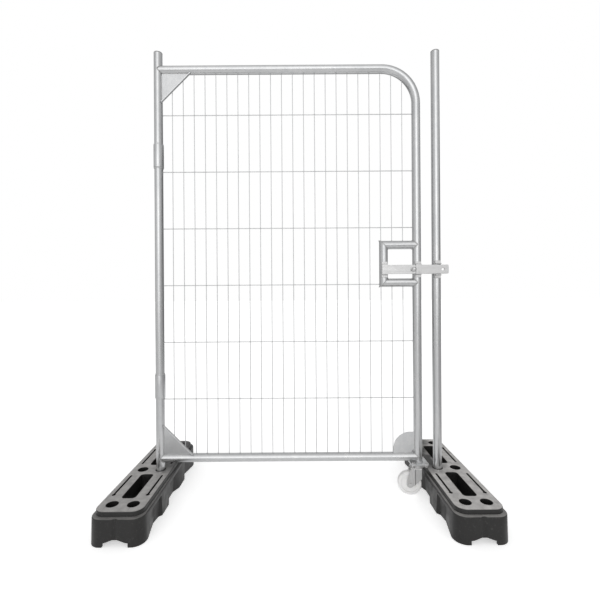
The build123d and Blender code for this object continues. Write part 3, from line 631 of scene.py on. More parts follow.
def dust_sheen_and_painted_shade(look, side, dust, blotches):
    """How much dust lies on a foot, which also paints a top-lit sheen on its deck: most on its deck, painted
    shade as little dust on the inner back of the deck behind the gate, and none on its sides.
    """
    place = look.parts(look.place)
    facing = look.parts(look.node("NewGeometry").outputs["Normal"])["Z"]
    # Dust on up-facing faces, which also stands for a painted top-lit sheen
    dust_and_sheen = look.times(look.remap(facing, *UPWARD, 0.0, 1.0), look.spread(dust, 0.6, 0.95))
    on_deck = look.remap(place["Z"], SHELF_Z, FOOT_HEIGHT - DECK_EDGE, SHELF_DUST, 1.0)
    # Painted shade: less dust, and so a darker deck, on the inner side behind the gate line
    across = look.times(look.times(place["X"], side), look.spread(blotches, 0.95, 1.05))
    beside = look.remap(across, *PAINTED_SHADE_ACROSS, 1.0, 0.0)
    painted_shade = look.times(beside, look.remap(place["Y"], *PAINTED_SHADE_DEEP, 0.0, 1.0))
    left = look.times(on_deck, look.remap(painted_shade, 0.0, 1.0, 1.0, PAINTED_SHADE_DUST))
    return look.times(dust_and_sheen, left)


def recycled_plastic(name, side, dust_and_painted_light_shade):
    """Recycled plastic: dark and finely flecked, with rubbed streaks and with dust on its deck, the dust also
    painting light and shade on the deck.
    """
    look = Look(name)
    look.shade({"Specular IOR Level": 0.4})
    blotches = look.noise(16.0, detail=5.0)
    dust = look.noise(34.0, detail=6.0)
    scuffs = look.noise(26.0, stretch=(5, 0.7, 3))
    dark = look.mix(blotches, grey(0.012, 0.03), grey(0.02, 0.03))
    flecks = look.cells(330.0)
    flecked = look.patches(dark, flecks, start=0.78, full=0.9, share=0.3, colour=grey(0.05, 0.04))
    dusty_and_painted_light = look.mix(dust_sheen_and_painted_shade(look, side, dust, blotches), flecked, grey(dust_and_painted_light_shade, 0.025))
    rubbed = look.patches(dusty_and_painted_light, scuffs, start=0.62, full=0.74, share=0.3, colour=grey(0.09, 0.02))
    grain = look.bump(look.noise(750.0), strength=0.16, distance=0.0005)
    waves = look.bump(look.noise(70.0), strength=0.12, distance=0.0012, under=grain)
    return look.coat(rubbed, look.spread(dust, 0.28, 0.44), waves)


def nylon():
    """White nylon: slightly milky, with grime worked into the tread."""
    look = Look("white_nylon")
    haze = look.noise(45.0, detail=4.0)
    white = look.mix(haze, grey(0.9, 0.008), grey(0.95, 0.008))
    reach = look.node("VectorMath", look.place, WHEEL_CENTRE, operation="DISTANCE").outputs["Value"]
    tread = look.remap(reach, GRIME_START_R, GRIME_FULL_R, 0.0, 0.25)
    grime = look.times(tread, look.remap(look.noise(85.0, detail=5.0), 0.4, 0.65, 0.0, 1.0))
    look.shade({"Subsurface Weight": 0.08, "Subsurface Radius": (0.004, 0.004, 0.0035)})
    grain = look.bump(look.noise(380.0), strength=0.08, distance=0.0004)
    return look.coat(look.mix(grime, white, grey(0.4, 0.05)), look.spread(haze, 0.33, 0.5), grain)


def moulded(name, shade, worn, roughness):
    """A small moulded plastic part: fine grain and paler rubbed patches."""
    look = Look(name)
    wear = look.noise(120.0, detail=5.0)
    rubbed = look.patches(grey(shade), wear, start=0.5, full=0.72, share=0.7, colour=grey(worn, 0.02))
    gloss = look.spread(look.noise(200.0), roughness - 0.1, roughness + 0.12)
    grain = look.noise(1100.0, detail=2.0)
    return look.coat(rubbed, gloss, look.bump(grain, strength=0.18, distance=0.0003))


TUBE = galvanised("galvanised_tube", 0.65, spangle=95.0, stretch=(1, 1, 0.55), roughness=0.28)
PLATE = galvanised("galvanised_plate", 0.74, spangle=60.0, stretch=(1, 1, 1), roughness=0.46)
WIRE = galvanised("galvanised_wire", 0.68, spangle=260.0, stretch=(1, 1, 0.4), roughness=0.35)
WELD = weld_metal()
ZINC = brushed("zinc_plate", 0.62, stretch=(0.06, 1, 1.6), roughness=0.3)
CASTOR_STEEL = brushed("castor_steel", 0.6, stretch=(1, 1, 0.08), roughness=0.4, warmth=0.004, metallic=0.6)
FASTENER = brushed("fastener_steel", 0.66, stretch=(1.5, 1.5, 0.6), roughness=0.3, warmth=0.006)
# Painted light: the right foot's deck gets paler dust than the left's, so that it looks more lit
FEET = {
    "left_foot": recycled_plastic("recycled_plastic_left", side=-1, dust_and_painted_light_shade=0.5),
    "right_foot": recycled_plastic("recycled_plastic_right", side=1, dust_and_painted_light_shade=0.7),
}
NYLON = nylon()
CAP = moulded("cap_plastic", 0.3, worn=0.42, roughness=0.5)
KNOB = brushed("knob_steel", 0.72, stretch=(1, 1, 1), roughness=0.36)


# Tubes


def cope(y, grown=0.0):
    """How far a tube's surface stands from its middle plane at the depth y."""
    return sqrt((COPE_R + grown) ** 2 - y**2)


def coped(x, side, z, grown=0.0):
    """A level tube's end on an upright one, right of it where side is 1: its point at (c, s)."""
    return lambda c, s: (x + side * cope(s, grown), s, z + c)


def flat(x, z, lean_x=1, lean_z=0):
    """A tube's flat section: its point at (c, s), with c carried along X and Z by these shares."""
    return lambda c, s: (x + lean_x * c, s, z + lean_z * c)


def tube(*sections):
    """A tube's wall through its sections."""
    walls = []
    for radius in (TUBE_R, BORE_R):
        around = circle(radius, TUBE_SIDES)
        walls.append([[section(c, s) for c, s in around] for section in sections])
    return skin(walls[0] + walls[1][::-1], loop=True)


def lock_frame_sections():
    """The top rail and lock stile, from the hinge stile round the bend."""
    sections = [coped(HINGE_X, 1, TOP_RAIL_Z)]
    for turn in evenly(0, pi / 2, BEND_STEPS + 1):
        out, up = sin(turn), cos(turn)
        sections.append(flat(LOCK_X - BEND_RADIUS * (1 - out), TOP_RAIL_Z - BEND_RADIUS * (1 - up), out, up))
    return [*sections, flat(LOCK_X, STILE_END_Z)]


def tube_cap(x):
    """A plug with a rounded rim and a shallow ring moulded in its top."""
    plug_r = BORE_R - CAP_FIT
    profile = [(0, -CAP_PLUG), (plug_r - CAP_GROOVE, -CAP_PLUG), (plug_r, CAP_GROOVE - CAP_PLUG), (plug_r, 0)]
    profile += [(TUBE_R - CAP_GROOVE, 0), (TUBE_R, CAP_GROOVE)]
    profile += arc(TUBE_R - CAP_ROUND, CAP_RIM - CAP_ROUND, CAP_ROUND, 0, 90)
    profile += [(CAP_RING_R + CAP_GROOVE, CAP_RIM), (CAP_RING_R, CAP_RIM - CAP_GROOVE)]
    profile += [(CAP_RING_R - CAP_GROOVE, CAP_RIM), (0, CAP_RIM)]
    return revolve(profile, (x, 0, POST_TOP_Z), (0, 0, 1))


def ring(z, bore_r, outer_r, length, edge):
    """A collar round the hinge stile, with rounded outer edges."""
    half = length / 2
    profile = [(bore_r, -half), (outer_r - edge, -half)]
    profile += arc(outer_r - edge, edge - half, edge, -90, 0, EDGE_STEPS)
    profile += arc(outer_r - edge, half - edge, edge, 0, 90, EDGE_STEPS)
    profile += [(bore_r, half)]
    return revolve(profile, (HINGE_X, 0, z), (0, 0, 1), loop=True)


def make_tubes():
    """The leaf's frame, the latch post and the plugs."""
    upper_z, lower_z, rail_z = WINDOW_UPPER_Z, WINDOW_LOWER_Z, BOTTOM_RAIL_Z
    lower_mitre = flat(WINDOW_X, lower_z, 1, 1)
    tubes = {
        "hinge_stile": ("hinge_stile_tube", flat(HINGE_X, STILE_BASE_Z), flat(HINGE_X, POST_TOP_Z)),
        "latch_post": ("latch_post_tube", flat(LATCH_X, POST_BASE_Z), flat(LATCH_X, POST_TOP_Z)),
        "lock_frame_tube": ("lock_frame_bent_tube", *lock_frame_sections()),
        "bottom_rail": ("bottom_rail_tube", coped(HINGE_X, 1, rail_z), coped(LOCK_X, -1, rail_z)),
        "window_upright": ("window_upright_tube", lower_mitre, flat(WINDOW_X, upper_z, 1, -1)),
        "window_upper_arm": ("window_upper_tube", flat(WINDOW_X, upper_z, -1, 1), coped(LOCK_X, -1, upper_z)),
        "window_lower_arm": ("window_lower_tube", lower_mitre, coped(LOCK_X, -1, lower_z)),
    }
    for node, (name, *sections) in tubes.items():
        new_piece(name, tube(*sections), TUBE, "base" if node == "latch_post" else "leaf", node)
    new_piece("hinge_stile_plug", tube_cap(HINGE_X), CAP, "leaf", "hinge_stile_cap")
    new_piece("latch_post_plug", tube_cap(LATCH_X), CAP, "base", "latch_post_cap")


def make_sleeves():
    """The sleeves that turn on the hinge stile, and the rings that hold their heights."""
    stop_rings = []
    for node, body in SLEEVE_BODIES.items():
        z = middle(node).z
        sleeve = ring(z, SLEEVE_BORE_R, SLEEVE_R, SLEEVE_LENGTH, SLEEVE_EDGE)
        new_piece(node + "_collar", sleeve, TUBE, body, node)
        for ring_z in (z - STOP_RING_OFFSET, z + STOP_RING_OFFSET):
            stop_rings.append(ring(ring_z, COPE_R, STOP_RING_R, STOP_RING_HEIGHT, STOP_RING_EDGE))
    new_piece("stop_rings", join(stop_rings), PLATE, "leaf", "sleeve_stop_rings")


# Wire mesh


def tube_edge(z, side):
    """The height of a level tube's upper side, or its lower side where side is -1."""
    return lambda x, y: z + side * cope(y)


def frame_underside(x, y):
    """The height of the bent tube's inner side."""
    past_bend = max(0, x - (LOCK_X - BEND_RADIUS))
    return TOP_RAIL_Z - BEND_RADIUS + sqrt((BEND_RADIUS - cope(y)) ** 2 - past_bend**2)


def upright_wire_spans():
    """The place of each upright wire, and the two surfaces that it runs between."""
    rail_top = tube_edge(BOTTOM_RAIL_Z, 1)
    spans = []
    for x in evenly(HINGE_X + WIRE_MARGIN, LOCK_X - WIRE_MARGIN, UPRIGHT_WIRES):
        if x > WINDOW_X - TUBE_R:
            spans.append((x, rail_top, tube_edge(WINDOW_LOWER_Z, -1)))
            spans.append((x, tube_edge(WINDOW_UPPER_Z, 1), frame_underside))
        else:
            spans.append((x, rail_top, frame_underside))
    return spans


def cross_wire_spans():
    """The height of each cross wire, and the tube that it runs to."""
    spans = []
    for z in evenly(BOTTOM_RAIL_Z + BOTTOM_WIRE_RISE, TOP_RAIL_Z - TOP_WIRE_DROP, CROSS_WIRES):
        beside_window = WINDOW_LOWER_Z - TUBE_R < z < WINDOW_UPPER_Z + TUBE_R
        spans.append((z, WINDOW_X if beside_window else LOCK_X))
    return spans


def nugget(centre, axis, radius=END_WELD_R, half_height=END_WELD_HEIGHT):
    """A squeezed drop of weld metal, as large as at a wire's end unless sizes are given."""
    profile = [(radius * cos(t), half_height * sin(t)) for t in NUGGET_TURNS]
    return revolve([(0, -half_height), *profile, (0, half_height)], centre, axis, NUGGET_SIDES)


def make_wires():
    """Both layers of wire, with a weld at each crossing and at each end."""
    uprights, crosses, nuggets, end_welds = [], [], [], []
    around = circle(UPRIGHT_WIRE_R, WIRE_SIDES)
    for x, *ends in upright_wire_spans():
        uprights.append(skin([[(x + c, s, end(x + c, s)) for c, s in around] for end in ends]))
        low, high = [end(x, 0) for end in ends]
        end_welds += [nugget((x, 0, z), (0, 0, 1)) for z in (low, high)]
        for z, end_x in cross_wire_spans():
            if low < z < high and x < end_x:
                nuggets.append(nugget((x, UPRIGHT_WIRE_R, z), (0, 1, 0), NUGGET_R, NUGGET_HEIGHT))
    around = circle(CROSS_WIRE_R, WIRE_SIDES)
    for z, end_x in cross_wire_spans():
        ends = (coped(HINGE_X, 1, z), coped(end_x, -1, z))
        crosses.append(skin([[end(s, CROSS_WIRE_Y + c) for c, s in around] for end in ends]))
        end_welds += [nugget(end(0, CROSS_WIRE_Y), (1, 0, 0)) for end in ends]
    new_piece("upright_mesh_wires", join(uprights), WIRE, "leaf", "upright_wires")
    new_piece("cross_mesh_wires", join(crosses), WIRE, "leaf", "cross_wires")
    new_weld("mesh_weld_nuggets", nuggets, WIRE)
    new_weld("mesh_end_welds", end_welds, WIRE)


# Corner plates


def folded_gusset(rail_z, up):
    """A corner plate with its long edge folded forward; up is -1 where it hangs under its rail."""
    tip_y = GUSSET_FRONT_Y - GUSSET_LIP
    depth = GUSSET_LEG / sqrt(2) - GUSSET_CLIP
    fold = [
        (0, -GUSSET_SETBACK, GUSSET_FOLD),
        (0, tip_y, GUSSET_EDGE),
        (GUSSET_THICKNESS, tip_y, GUSSET_EDGE),
        (GUSSET_THICKNESS, GUSSET_FRONT_Y, GUSSET_FOLD - GUSSET_THICKNESS),
        (depth, GUSSET_FRONT_Y, GUSSET_EDGE),
        (depth, -GUSSET_SETBACK, GUSSET_EDGE),
    ]
    at_rail, at_stile = [], []
    for inward, y in rounded(fold):
        reach = cope(y) if y >= GUSSET_FRONT_Y else TUBE_R
        long_leg = 2 * TUBE_R + GUSSET_LEG - inward * sqrt(2) - reach
        at_rail.append((HINGE_X + long_leg, y, rail_z + up * reach))
        at_stile.append((HINGE_X + reach, y, rail_z + up * long_leg))
    return skin([at_rail, at_stile])


def round_gusset():
    """A corner plate with a rounded and a clipped corner, coped onto both tubes."""
    clip = QUARTER_CLIP * sqrt(2)
    size = QUARTER_SIZE
    corners = [(clip, 0, 0), (size, 0, 0), (size, size, QUARTER_RADIUS), (0, size, 0), (0, clip, 0)]

    def place(out, rise, y):
        x = LOCK_X - (TUBE_R + out if out else cope(y))
        z = BOTTOM_RAIL_Z + (TUBE_R + rise if rise else cope(y))
        return (x, y, z)

    return prism(rounded(corners, QUARTER_STEPS), place, (-GUSSET_SETBACK, GUSSET_FRONT_Y))


def make_gussets():
    """The two folded corner plates and the rounded one."""
    for node, rail_z, up in (("top_gusset", TOP_RAIL_Z, -1), ("bottom_gusset", BOTTOM_RAIL_Z, 1)):
        new_piece(node + "_plate", folded_gusset(rail_z, up), PLATE, "leaf", node)
    new_piece("round_gusset_plate", round_gusset(), PLATE, "leaf", "round_gusset", edge=GUSSET_EDGE)


# Sliding bolt


def strap(profile, x):
    """A bent strap across a tube at x, from its (y, z) outline."""
    return prism(profile, lambda y, z, side: (x + side, y, BAR_Z + z), (-GUIDE_HALF_WIDTH, GUIDE_HALF_WIDTH))


def guide_profile():
    """A hat section that holds the bolt against its tube."""
    inside = BAR_HALF_HEIGHT + GUIDE_GAP
    outside = inside + GUIDE_THICKNESS
    web_y = BAR_FRONT_Y - GUIDE_GAP
    return rounded(mirrored([
        (web_y, inside, STRAP_EDGE),
        (-TUBE_R, inside, STRAP_FOLD),
        (-TUBE_R, GUIDE_HALF_HEIGHT, STRAP_EDGE),
        (FLANGE_Y, GUIDE_HALF_HEIGHT, STRAP_EDGE),
        (FLANGE_Y, outside, STRAP_FOLD / 2),
        (web_y - GUIDE_THICKNESS, outside, STRAP_FOLD),
    ]))


def keeper_lip(side):
    """A flanged lip above the bolt, or below it where side is -1."""
    inside = BAR_HALF_HEIGHT + KEEPER_GAP
    outside = inside + GUIDE_THICKNESS
    tip_y = -TUBE_R - KEEPER_REACH
    corners = [
        (-TUBE_R, KEEPER_HALF_HEIGHT, STRAP_EDGE),
        (FLANGE_Y, KEEPER_HALF_HEIGHT, STRAP_EDGE),
        (FLANGE_Y, outside, STRAP_FOLD / 2),
        (BAR_FRONT_Y, outside, STRAP_FOLD / 2),
        (tip_y, outside + KEEPER_FLARE, STRAP_EDGE),
        (tip_y, inside + KEEPER_FLARE, STRAP_EDGE),
        (BAR_FRONT_Y, inside, STRAP_FOLD / 2),
        (-TUBE_R, inside, STRAP_FOLD),
    ]
    return rounded([(y, side * z, radius) for y, z, radius in corners])


def latch_bar():
    """A flat bar with rounded corners and a padlock hole."""
    outline = rounded_box(BAR_X, BAR_Z, BAR_RIGHT_X - BAR_X, BAR_HALF_HEIGHT, BAR_CORNER)
    bar = prism(outline, lambda x, z, y: (x, y, z), (BAR_BACK_Y, BAR_FRONT_Y))
    reach = BAR_BACK_Y - BAR_FRONT_Y
    profile = [(0, -reach), (PADLOCK_HOLE_R, -reach), (PADLOCK_HOLE_R, 2 * reach), (0, 2 * reach)]
    hole = revolve(profile, (BAR_RIGHT_X - PADLOCK_HOLE_INSET, BAR_BACK_Y, BAR_Z), (0, -1, 0))
    return carve(bar, [hole])


def latch_knob():
    """A turned knob with a collar, a waist and a domed head."""
    waist_top = KNOB_COLLAR + KNOB_WAIST
    rim_r, flank_r = KNOB_R - KNOB_EDGE, KNOB_WAIST_R + KNOB_EDGE
    profile = [(0, 0), (rim_r, 0)]
    profile += arc(rim_r, KNOB_EDGE, KNOB_EDGE, -90, 0, EDGE_STEPS)
    profile += arc(rim_r, KNOB_COLLAR - KNOB_EDGE, KNOB_EDGE, 0, KNOB_FLARE, EDGE_STEPS)
    profile += [(flank_r, waist_top - 2 * KNOB_EDGE), (KNOB_WAIST_R, waist_top - KNOB_EDGE)]
    profile += [(flank_r, waist_top), (rim_r, waist_top)]
    for turn in evenly(0, pi / 2, KNOB_STEPS + 1)[:-1]:
        rise = KNOB_EDGE + (KNOB_HEAD - KNOB_EDGE) * sin(turn)
        profile.append((KNOB_R * cos(turn), waist_top + rise))
    profile.append((0, waist_top + KNOB_HEAD))
    return revolve(profile, (KNOB_X, BAR_FRONT_Y, BAR_Z), (0, -1, 0))


def make_latch():
    """The bolt with its knob, its two guides and its keeper."""
    new_piece("latch_flat_bar", latch_bar(), ZINC, "latch_bolt", "latch_bar", edge=BAR_EDGE)
    new_piece("latch_grip_knob", latch_knob(), KNOB, "latch_bolt", "latch_knob")
    for node, x in (("window_bolt_guide", WINDOW_X), ("stile_bolt_guide", LOCK_X)):
        new_piece(node + "_strap", strap(guide_profile(), x), ZINC, "leaf", node, edge=STRAP_SIDE_EDGE)
    lips = join([strap(keeper_lip(side), LATCH_X) for side in (-1, 1)])
    new_piece("latch_keeper_lips", lips, ZINC, "base", "latch_keeper", edge=STRAP_SIDE_EDGE)


# Moulded feet


def swell(share):
    """A smooth hump: 0 at -1, 1 at 0 and 0 again at 1."""
    return 0.5 + 0.5 * cos(pi * share)


def foot_outline(inset, end_inset, corner, dip):
    """A foot's outline from above, drawn in by its insets, with a dip in each end's middle."""
    sides = rounded_box(0, 0, FOOT_HALF_WIDTH - inset, FOOT_HALF_LENGTH - end_inset, corner, FOOT_STEPS)
    outline = []
    for k, (x, y) in enumerate(sides):
        outline.append((x, y))
        if (k + 1) % (len(sides) // 2) == 0:
            end = 1 if y > 0 else -1
            for share in evenly(-1, 1, END_DIP_STEPS + 1)[1:-1]:
                outline.append((-end * END_DIP_HALF_WIDTH * share, y - end * dip * swell(share)))
    return outline


def foot_block():
    """A foot's outer form: drafted body, rounded shelf edge and a raised deck."""
    lean = tan(FOOT_DRAFT)
    edge_inset = lean * (SHELF_Z - FOOT_EDGE)
    levels = []
    body = [(FOOT_SOLE_EDGE, 0), (lean * FOOT_SOLE_EDGE, FOOT_SOLE_EDGE)]
    body += arc(edge_inset + FOOT_EDGE, SHELF_Z - FOOT_EDGE, FOOT_EDGE, 180, 90, EDGE_STEPS)
    for inset, z in body:
        levels.append((foot_outline(inset, inset, FOOT_CORNER - inset, END_DIP), z))
    for inset, z in arc(DECK_INSET - DECK_ROOT, SHELF_Z + DECK_ROOT, DECK_ROOT, -90, 0, DECK_ROOT_STEPS):
        levels.append((foot_outline(inset, inset + DECK_SETBACK, DECK_CORNER, 0), z))
    for inset, z in arc(DECK_INSET + DECK_EDGE, FOOT_HEIGHT - DECK_EDGE, DECK_EDGE, 180, 90, DECK_EDGE_STEPS):
        levels.append((foot_outline(inset, inset + DECK_SETBACK, DECK_CORNER + DECK_INSET - inset, 0), z))
    return skin([[(x, y, z) for x, y in outline] for outline, z in levels])


def deck_cut(outline_at, floor):
    """A cutter from the deck to a floor, with a flared rim; outline_at(grow) gives its outline."""
    levels = [(0, floor)]
    levels += [(RIM_FLARE + u, v) for u, v in arc(0, FOOT_HEIGHT - RIM_FLARE, RIM_FLARE, 180, 90, EDGE_STEPS)]
    levels.append((RIM_FLARE + CUT_OVER, FOOT_HEIGHT + CUT_OVER))
    return skin([[(x, y, z) for x, y in outline_at(grow)] for grow, z in levels])


def round_outline(x, y, radius):
    """A circle's outline, by how far it is grown."""
    return lambda grow: [(x + c, y + s) for c, s in circle(radius + grow, CUT_SIDES)]


def slot_outline(x, y, half_width, half_length, corner):
    """A rounded slot's outline, by how far it is grown."""
    return lambda grow: rounded_box(x, y, half_width + grow, half_length + grow, corner + grow, SLOT_STEPS)


def drafted(corners, side, end):
    """A cutter that narrows upwards, from (depth, y, radius) corners in a foot's side."""
    rings = []
    for z in (-CUT_OVER, POCKET_HEIGHT):
        inset = z * tan(POCKET_DRAFT)
        level = [(FOOT_HALF_WIDTH - depth + inset, y, radius) for depth, y, radius in corners]
        rings.append([(side * u, end * v, z) for u, v in rounded(level)])
    return skin(rings)


def middle_pocket(side):
    """A cutter for the even hollow in the middle of a foot's side."""
    corners = [(-POCKET_DEPTH, POCKET_HALF_MOUTH, 0), (POCKET_DEPTH, POCKET_HALF_FLOOR, POCKET_ROUND)]
    return drafted(mirrored(corners), side, 1)


def end_pocket(side, end):
    """A cutter for the hollow near a foot's end: a long flank, a sloping floor and a short step."""
    corners = [
        (-POCKET_DEPTH, END_POCKET_START_Y, 0),
        (POCKET_DEPTH, END_POCKET_FLANK_Y, END_POCKET_ROUND),
        (END_POCKET_SHALLOW, END_POCKET_STEP_Y, END_POCKET_ROUND),
        (-END_POCKET_SHALLOW, END_POCKET_END_Y, 0),
    ]
    return drafted(corners, side, end)


def notch_core(end):
    """A cutter for the wider hollow behind a foot's end wall."""
    outline = rounded_box(0, end * CORE_Y, CORE_HALF_WIDTH, CORE_HALF_DEPTH, CORE_CORNER)
    return prism(outline, lambda x, y, z: (x, y, z), (-CUT_OVER, CORE_HEIGHT))


def end_notch(end):
    """A cutter for the arched notch under a foot's end."""
    half = NOTCH_HALF_WIDTH
    outline = [(-half, -CUT_OVER), (half, -CUT_OVER)]
    for share in evenly(1, -1, NOTCH_STEPS + 1):
        outline.append((half * share, NOTCH_SIDE + NOTCH_RISE * swell(share)))
    ends = (FOOT_HALF_LENGTH - NOTCH_DEPTH, FOOT_HALF_LENGTH + CUT_OVER)
    return prism(outline, lambda x, z, y: (x, end * y, z), ends)


def foot():
    """A moulded foot about its own middle, with all that is cut from it."""
    main, hollows, slits, eyes = [], [], [], []
    for x, y in product((-SOCKET_X, SOCKET_X), (-SOCKET_Y, 0, SOCKET_Y)):
        main.append(deck_cut(round_outline(x, y, SOCKET_R), SOCKET_FLOOR))
    for end in (-1, 1):
        slot = slot_outline(0, end * SLOT_Y, SLOT_HALF_WIDTH, SLOT_HALF_LENGTH, SLOT_CORNER)
        main += [deck_cut(slot, -CUT_OVER), end_notch(end)]
        for x in (-SLIT_X, SLIT_X):
            slit = slot_outline(x, end * SLIT_Y, SLIT_HALF_WIDTH, SLIT_HALF_LENGTH, SLIT_CORNER)
            slits.append(deck_cut(slit, SLIT_FLOOR))
            eyes.append(deck_cut(round_outline(x, end * SLIT_EYE_Y, SLIT_EYE_R), SLIT_FLOOR))
        hollows.append(notch_core(end))
    for side in (-1, 1):
        hollows.append(middle_pocket(side))
        main += [end_pocket(side, end) for end in (-1, 1)]
    return carve(foot_block(), main, hollows, slits, eyes)


def make_feet():
    """The two feet, alike, each at its node's place."""
    verts, faces = foot()
    for node, look in FEET.items():
        x = middle(node).x
        shell = ([vert + Vector((x, 0, 0)) for vert in verts], faces)
        new_piece(node + "_block", shell, look, "base", node, slot="foot_plastic")


# Castor


def wheel():
    """A nylon wheel: hub, web, rim and a round-shouldered tread."""
    half, web, hub = WHEEL_HALF_WIDTH, WHEEL_HALF_WEB, HUB_HALF_LENGTH
    edge, root = WHEEL_EDGE, WHEEL_ROOT
    section = [(BUSH_R, hub - edge), (BUSH_R + edge, hub), (HUB_R - edge, hub), (HUB_R, hub - edge)]
    section += arc(HUB_R + root, web + root, root, 180, 270, EDGE_STEPS)
    section += arc(WHEEL_RIM_R - root, web + root, root, 270, 360, EDGE_STEPS)
    section += [(WHEEL_RIM_R, half - edge), (WHEEL_RIM_R + edge, half)]
    section += arc(WHEEL_R - WHEEL_SHOULDER, half - WHEEL_SHOULDER, WHEEL_SHOULDER, 90, 0, SHOULDER_STEPS)
    section += [(radius, -height) for radius, height in section[::-1]]
    return revolve(section, WHEEL_CENTRE, AXLE_DIRECTION, WHEEL_SIDES, loop=True)


def make_castor():
    """The castor: plates, fork, wheel and fasteners."""
    new_piece("castor_nylon_wheel", wheel(), NYLON, "wheel", "castor_wheel", slot="nylon")
    refined("mount_plate", PLATE, "leaf", PLATE_EDGE)
    refined("top_plate", CASTOR_STEEL, "leaf", PLATE_EDGE)
    refined("fork", CASTOR_STEEL, "castor_swivel", FORK_EDGE)
    for part in ("bolts", "nuts", "kingpin", "kingpin_nut"):
        refined(part, FASTENER, "leaf", FASTENER_EDGE)
    for part in ("axle_bolt", "axle_nut", "axle_bush"):
        refined(part, FASTENER, "castor_swivel", FASTENER_EDGE)
    refined("race_balls", FASTENER, "castor_swivel", 0.0, BALL_ANGLE)


# Weld beads


def bead(path, radius, closed=False):
    """A rippled bead along a path, drawn in at its ends unless it closes on itself."""
    count = len(path)
    points = [Vector(point) for point in path]
    side = None
    rings = []
    for k, point in enumerate(points):
        if closed:
            along = points[(k + 1) % count] - points[k - 1]
        else:
            along = points[min(k + 1, count - 1)] - points[max(k - 1, 0)]
        along.normalize()
        side = along.orthogonal() if side is None else side - along * side.dot(along)
        side.normalize()
        across = along.cross(side)
        width = radius * (BEAD_FULLNESS + (1 - BEAD_FULLNESS) * abs(sin(pi * k / BEAD_RIPPLE)))
        if not closed:
            width *= sqrt(min(1, min(k + 1, count - k) * BEAD_STEP / radius))
        rings.append([point + side * c + across * s for c, s in circle(width, BEAD_SIDES)])
    return skin(rings, loop=closed)


def loop_bead(section, radius):
    """A bead right round a tube at one of its sections."""
    count = round(2 * pi * TUBE_R / BEAD_STEP)
    return bead([section(c, s) for c, s in circle(TUBE_R + BEAD_PROUD, count)], radius, closed=True)


def straight_bead(start, end, radius):
    """A bead along a straight seam."""
    start, end = Vector(start), Vector(end)
    return bead(evenly(start, end, round((end - start).length / BEAD_STEP)), radius)


def corner_beads(x, side, z, up, *reaches):
    """Beads along a corner plate's seams, between two distances from its tubes' middles."""
    surface = cope(GUSSET_FRONT_Y) + BEAD_PROUD / 2
    along_rail = [(x + side * reach, GUSSET_FRONT_Y, z + up * surface) for reach in reaches]
    along_stile = [(x + side * surface, GUSSET_FRONT_Y, z + up * reach) for reach in reaches]
    return [straight_bead(*seam, GUSSET_BEAD_R) for seam in (along_rail, along_stile)]


def flange_beads(inside, outside, *places):
    """Beads down the flanges of straps at these places, between two heights off the bolt's middle."""
    beads = []
    for x, side, end in product(places, (-1, 1), (-1, 1)):
        seam_x = x + side * (GUIDE_HALF_WIDTH - BEAD_PROUD)
        seam = [(seam_x, FLANGE_BEAD_Y, BAR_Z + end * z) for z in (inside, outside)]
        beads.append(straight_bead(*seam, FLANGE_BEAD_R))
    return beads


def new_weld(name, beads, joined, body="leaf"):
    """Beads as a piece in the weld look; the name of the look that they join is passed on as a slot, which is
    not given to the piece.
    """
    new_piece(name, join(beads), WELD, body, slot=joined.name)


def make_tube_welds():
    """The beads that join the tubes of the leaf."""
    rail_ends = ((HINGE_X, 1, TOP_RAIL_Z), (HINGE_X, 1, BOTTOM_RAIL_Z), (LOCK_X, -1, BOTTOM_RAIL_Z))
    new_weld("rail_weld_beads", [loop_bead(coped(*end, BEAD_PROUD), RAIL_BEAD_R) for end in rail_ends], TUBE)
    arm_ends = ((LOCK_X, -1, WINDOW_UPPER_Z), (LOCK_X, -1, WINDOW_LOWER_Z))
    window_seams = [loop_bead(coped(*end, BEAD_PROUD), RAIL_BEAD_R) for end in arm_ends]
    for mitre in (flat(WINDOW_X, WINDOW_UPPER_Z, 1, -1), flat(WINDOW_X, WINDOW_LOWER_Z, 1, 1)):
        window_seams.append(loop_bead(mitre, MITRE_BEAD_R))
    new_weld("window_weld_beads", window_seams, TUBE)


def make_plate_welds():
    """The beads that join the plates, straps and rings to the tubes."""
    folded = (cope(GUSSET_FRONT_Y) + GUSSET_WELD_START, TUBE_R + GUSSET_LEG - GUSSET_WELD_END)
    quarter = (TUBE_R + QUARTER_CLIP * sqrt(2) + BEAD_PROUD, TUBE_R + QUARTER_SIZE - QUARTER_CLIP)
    gusset_seams = corner_beads(HINGE_X, 1, TOP_RAIL_Z, -1, *folded)
    gusset_seams += corner_beads(HINGE_X, 1, BOTTOM_RAIL_Z, 1, *folded)
    gusset_seams += corner_beads(LOCK_X, -1, BOTTOM_RAIL_Z, 1, *quarter)
    new_weld("gusset_weld_beads", gusset_seams, PLATE)
    guide_inside = BAR_HALF_HEIGHT + GUIDE_GAP + GUIDE_THICKNESS
    guide_seams = flange_beads(guide_inside, GUIDE_HALF_HEIGHT, WINDOW_X, LOCK_X)
    new_weld("guide_weld_beads", guide_seams, ZINC)
    keeper_inside = BAR_HALF_HEIGHT + KEEPER_GAP + GUIDE_THICKNESS / 2
    new_weld("keeper_weld_beads", flange_beads(keeper_inside, KEEPER_HALF_HEIGHT, LATCH_X), ZINC, "base")
    plate_seam = loop_bead(flat(LOCK_X, STILE_END_Z + BEAD_PROUD), RAIL_BEAD_R)
    new_weld("mount_plate_weld_bead", [plate_seam], PLATE)
    ring_seams = []
    for node, side in product(SLEEVE_BODIES, (-1, 1)):
        z = middle(node).z + side * (STOP_RING_OFFSET + STOP_RING_HEIGHT / 2)
        ring_seams.append(loop_bead(flat(HINGE_X, z), RING_BEAD_R))
    new_weld("stop_ring_weld_beads", ring_seams, PLATE)


# Stage


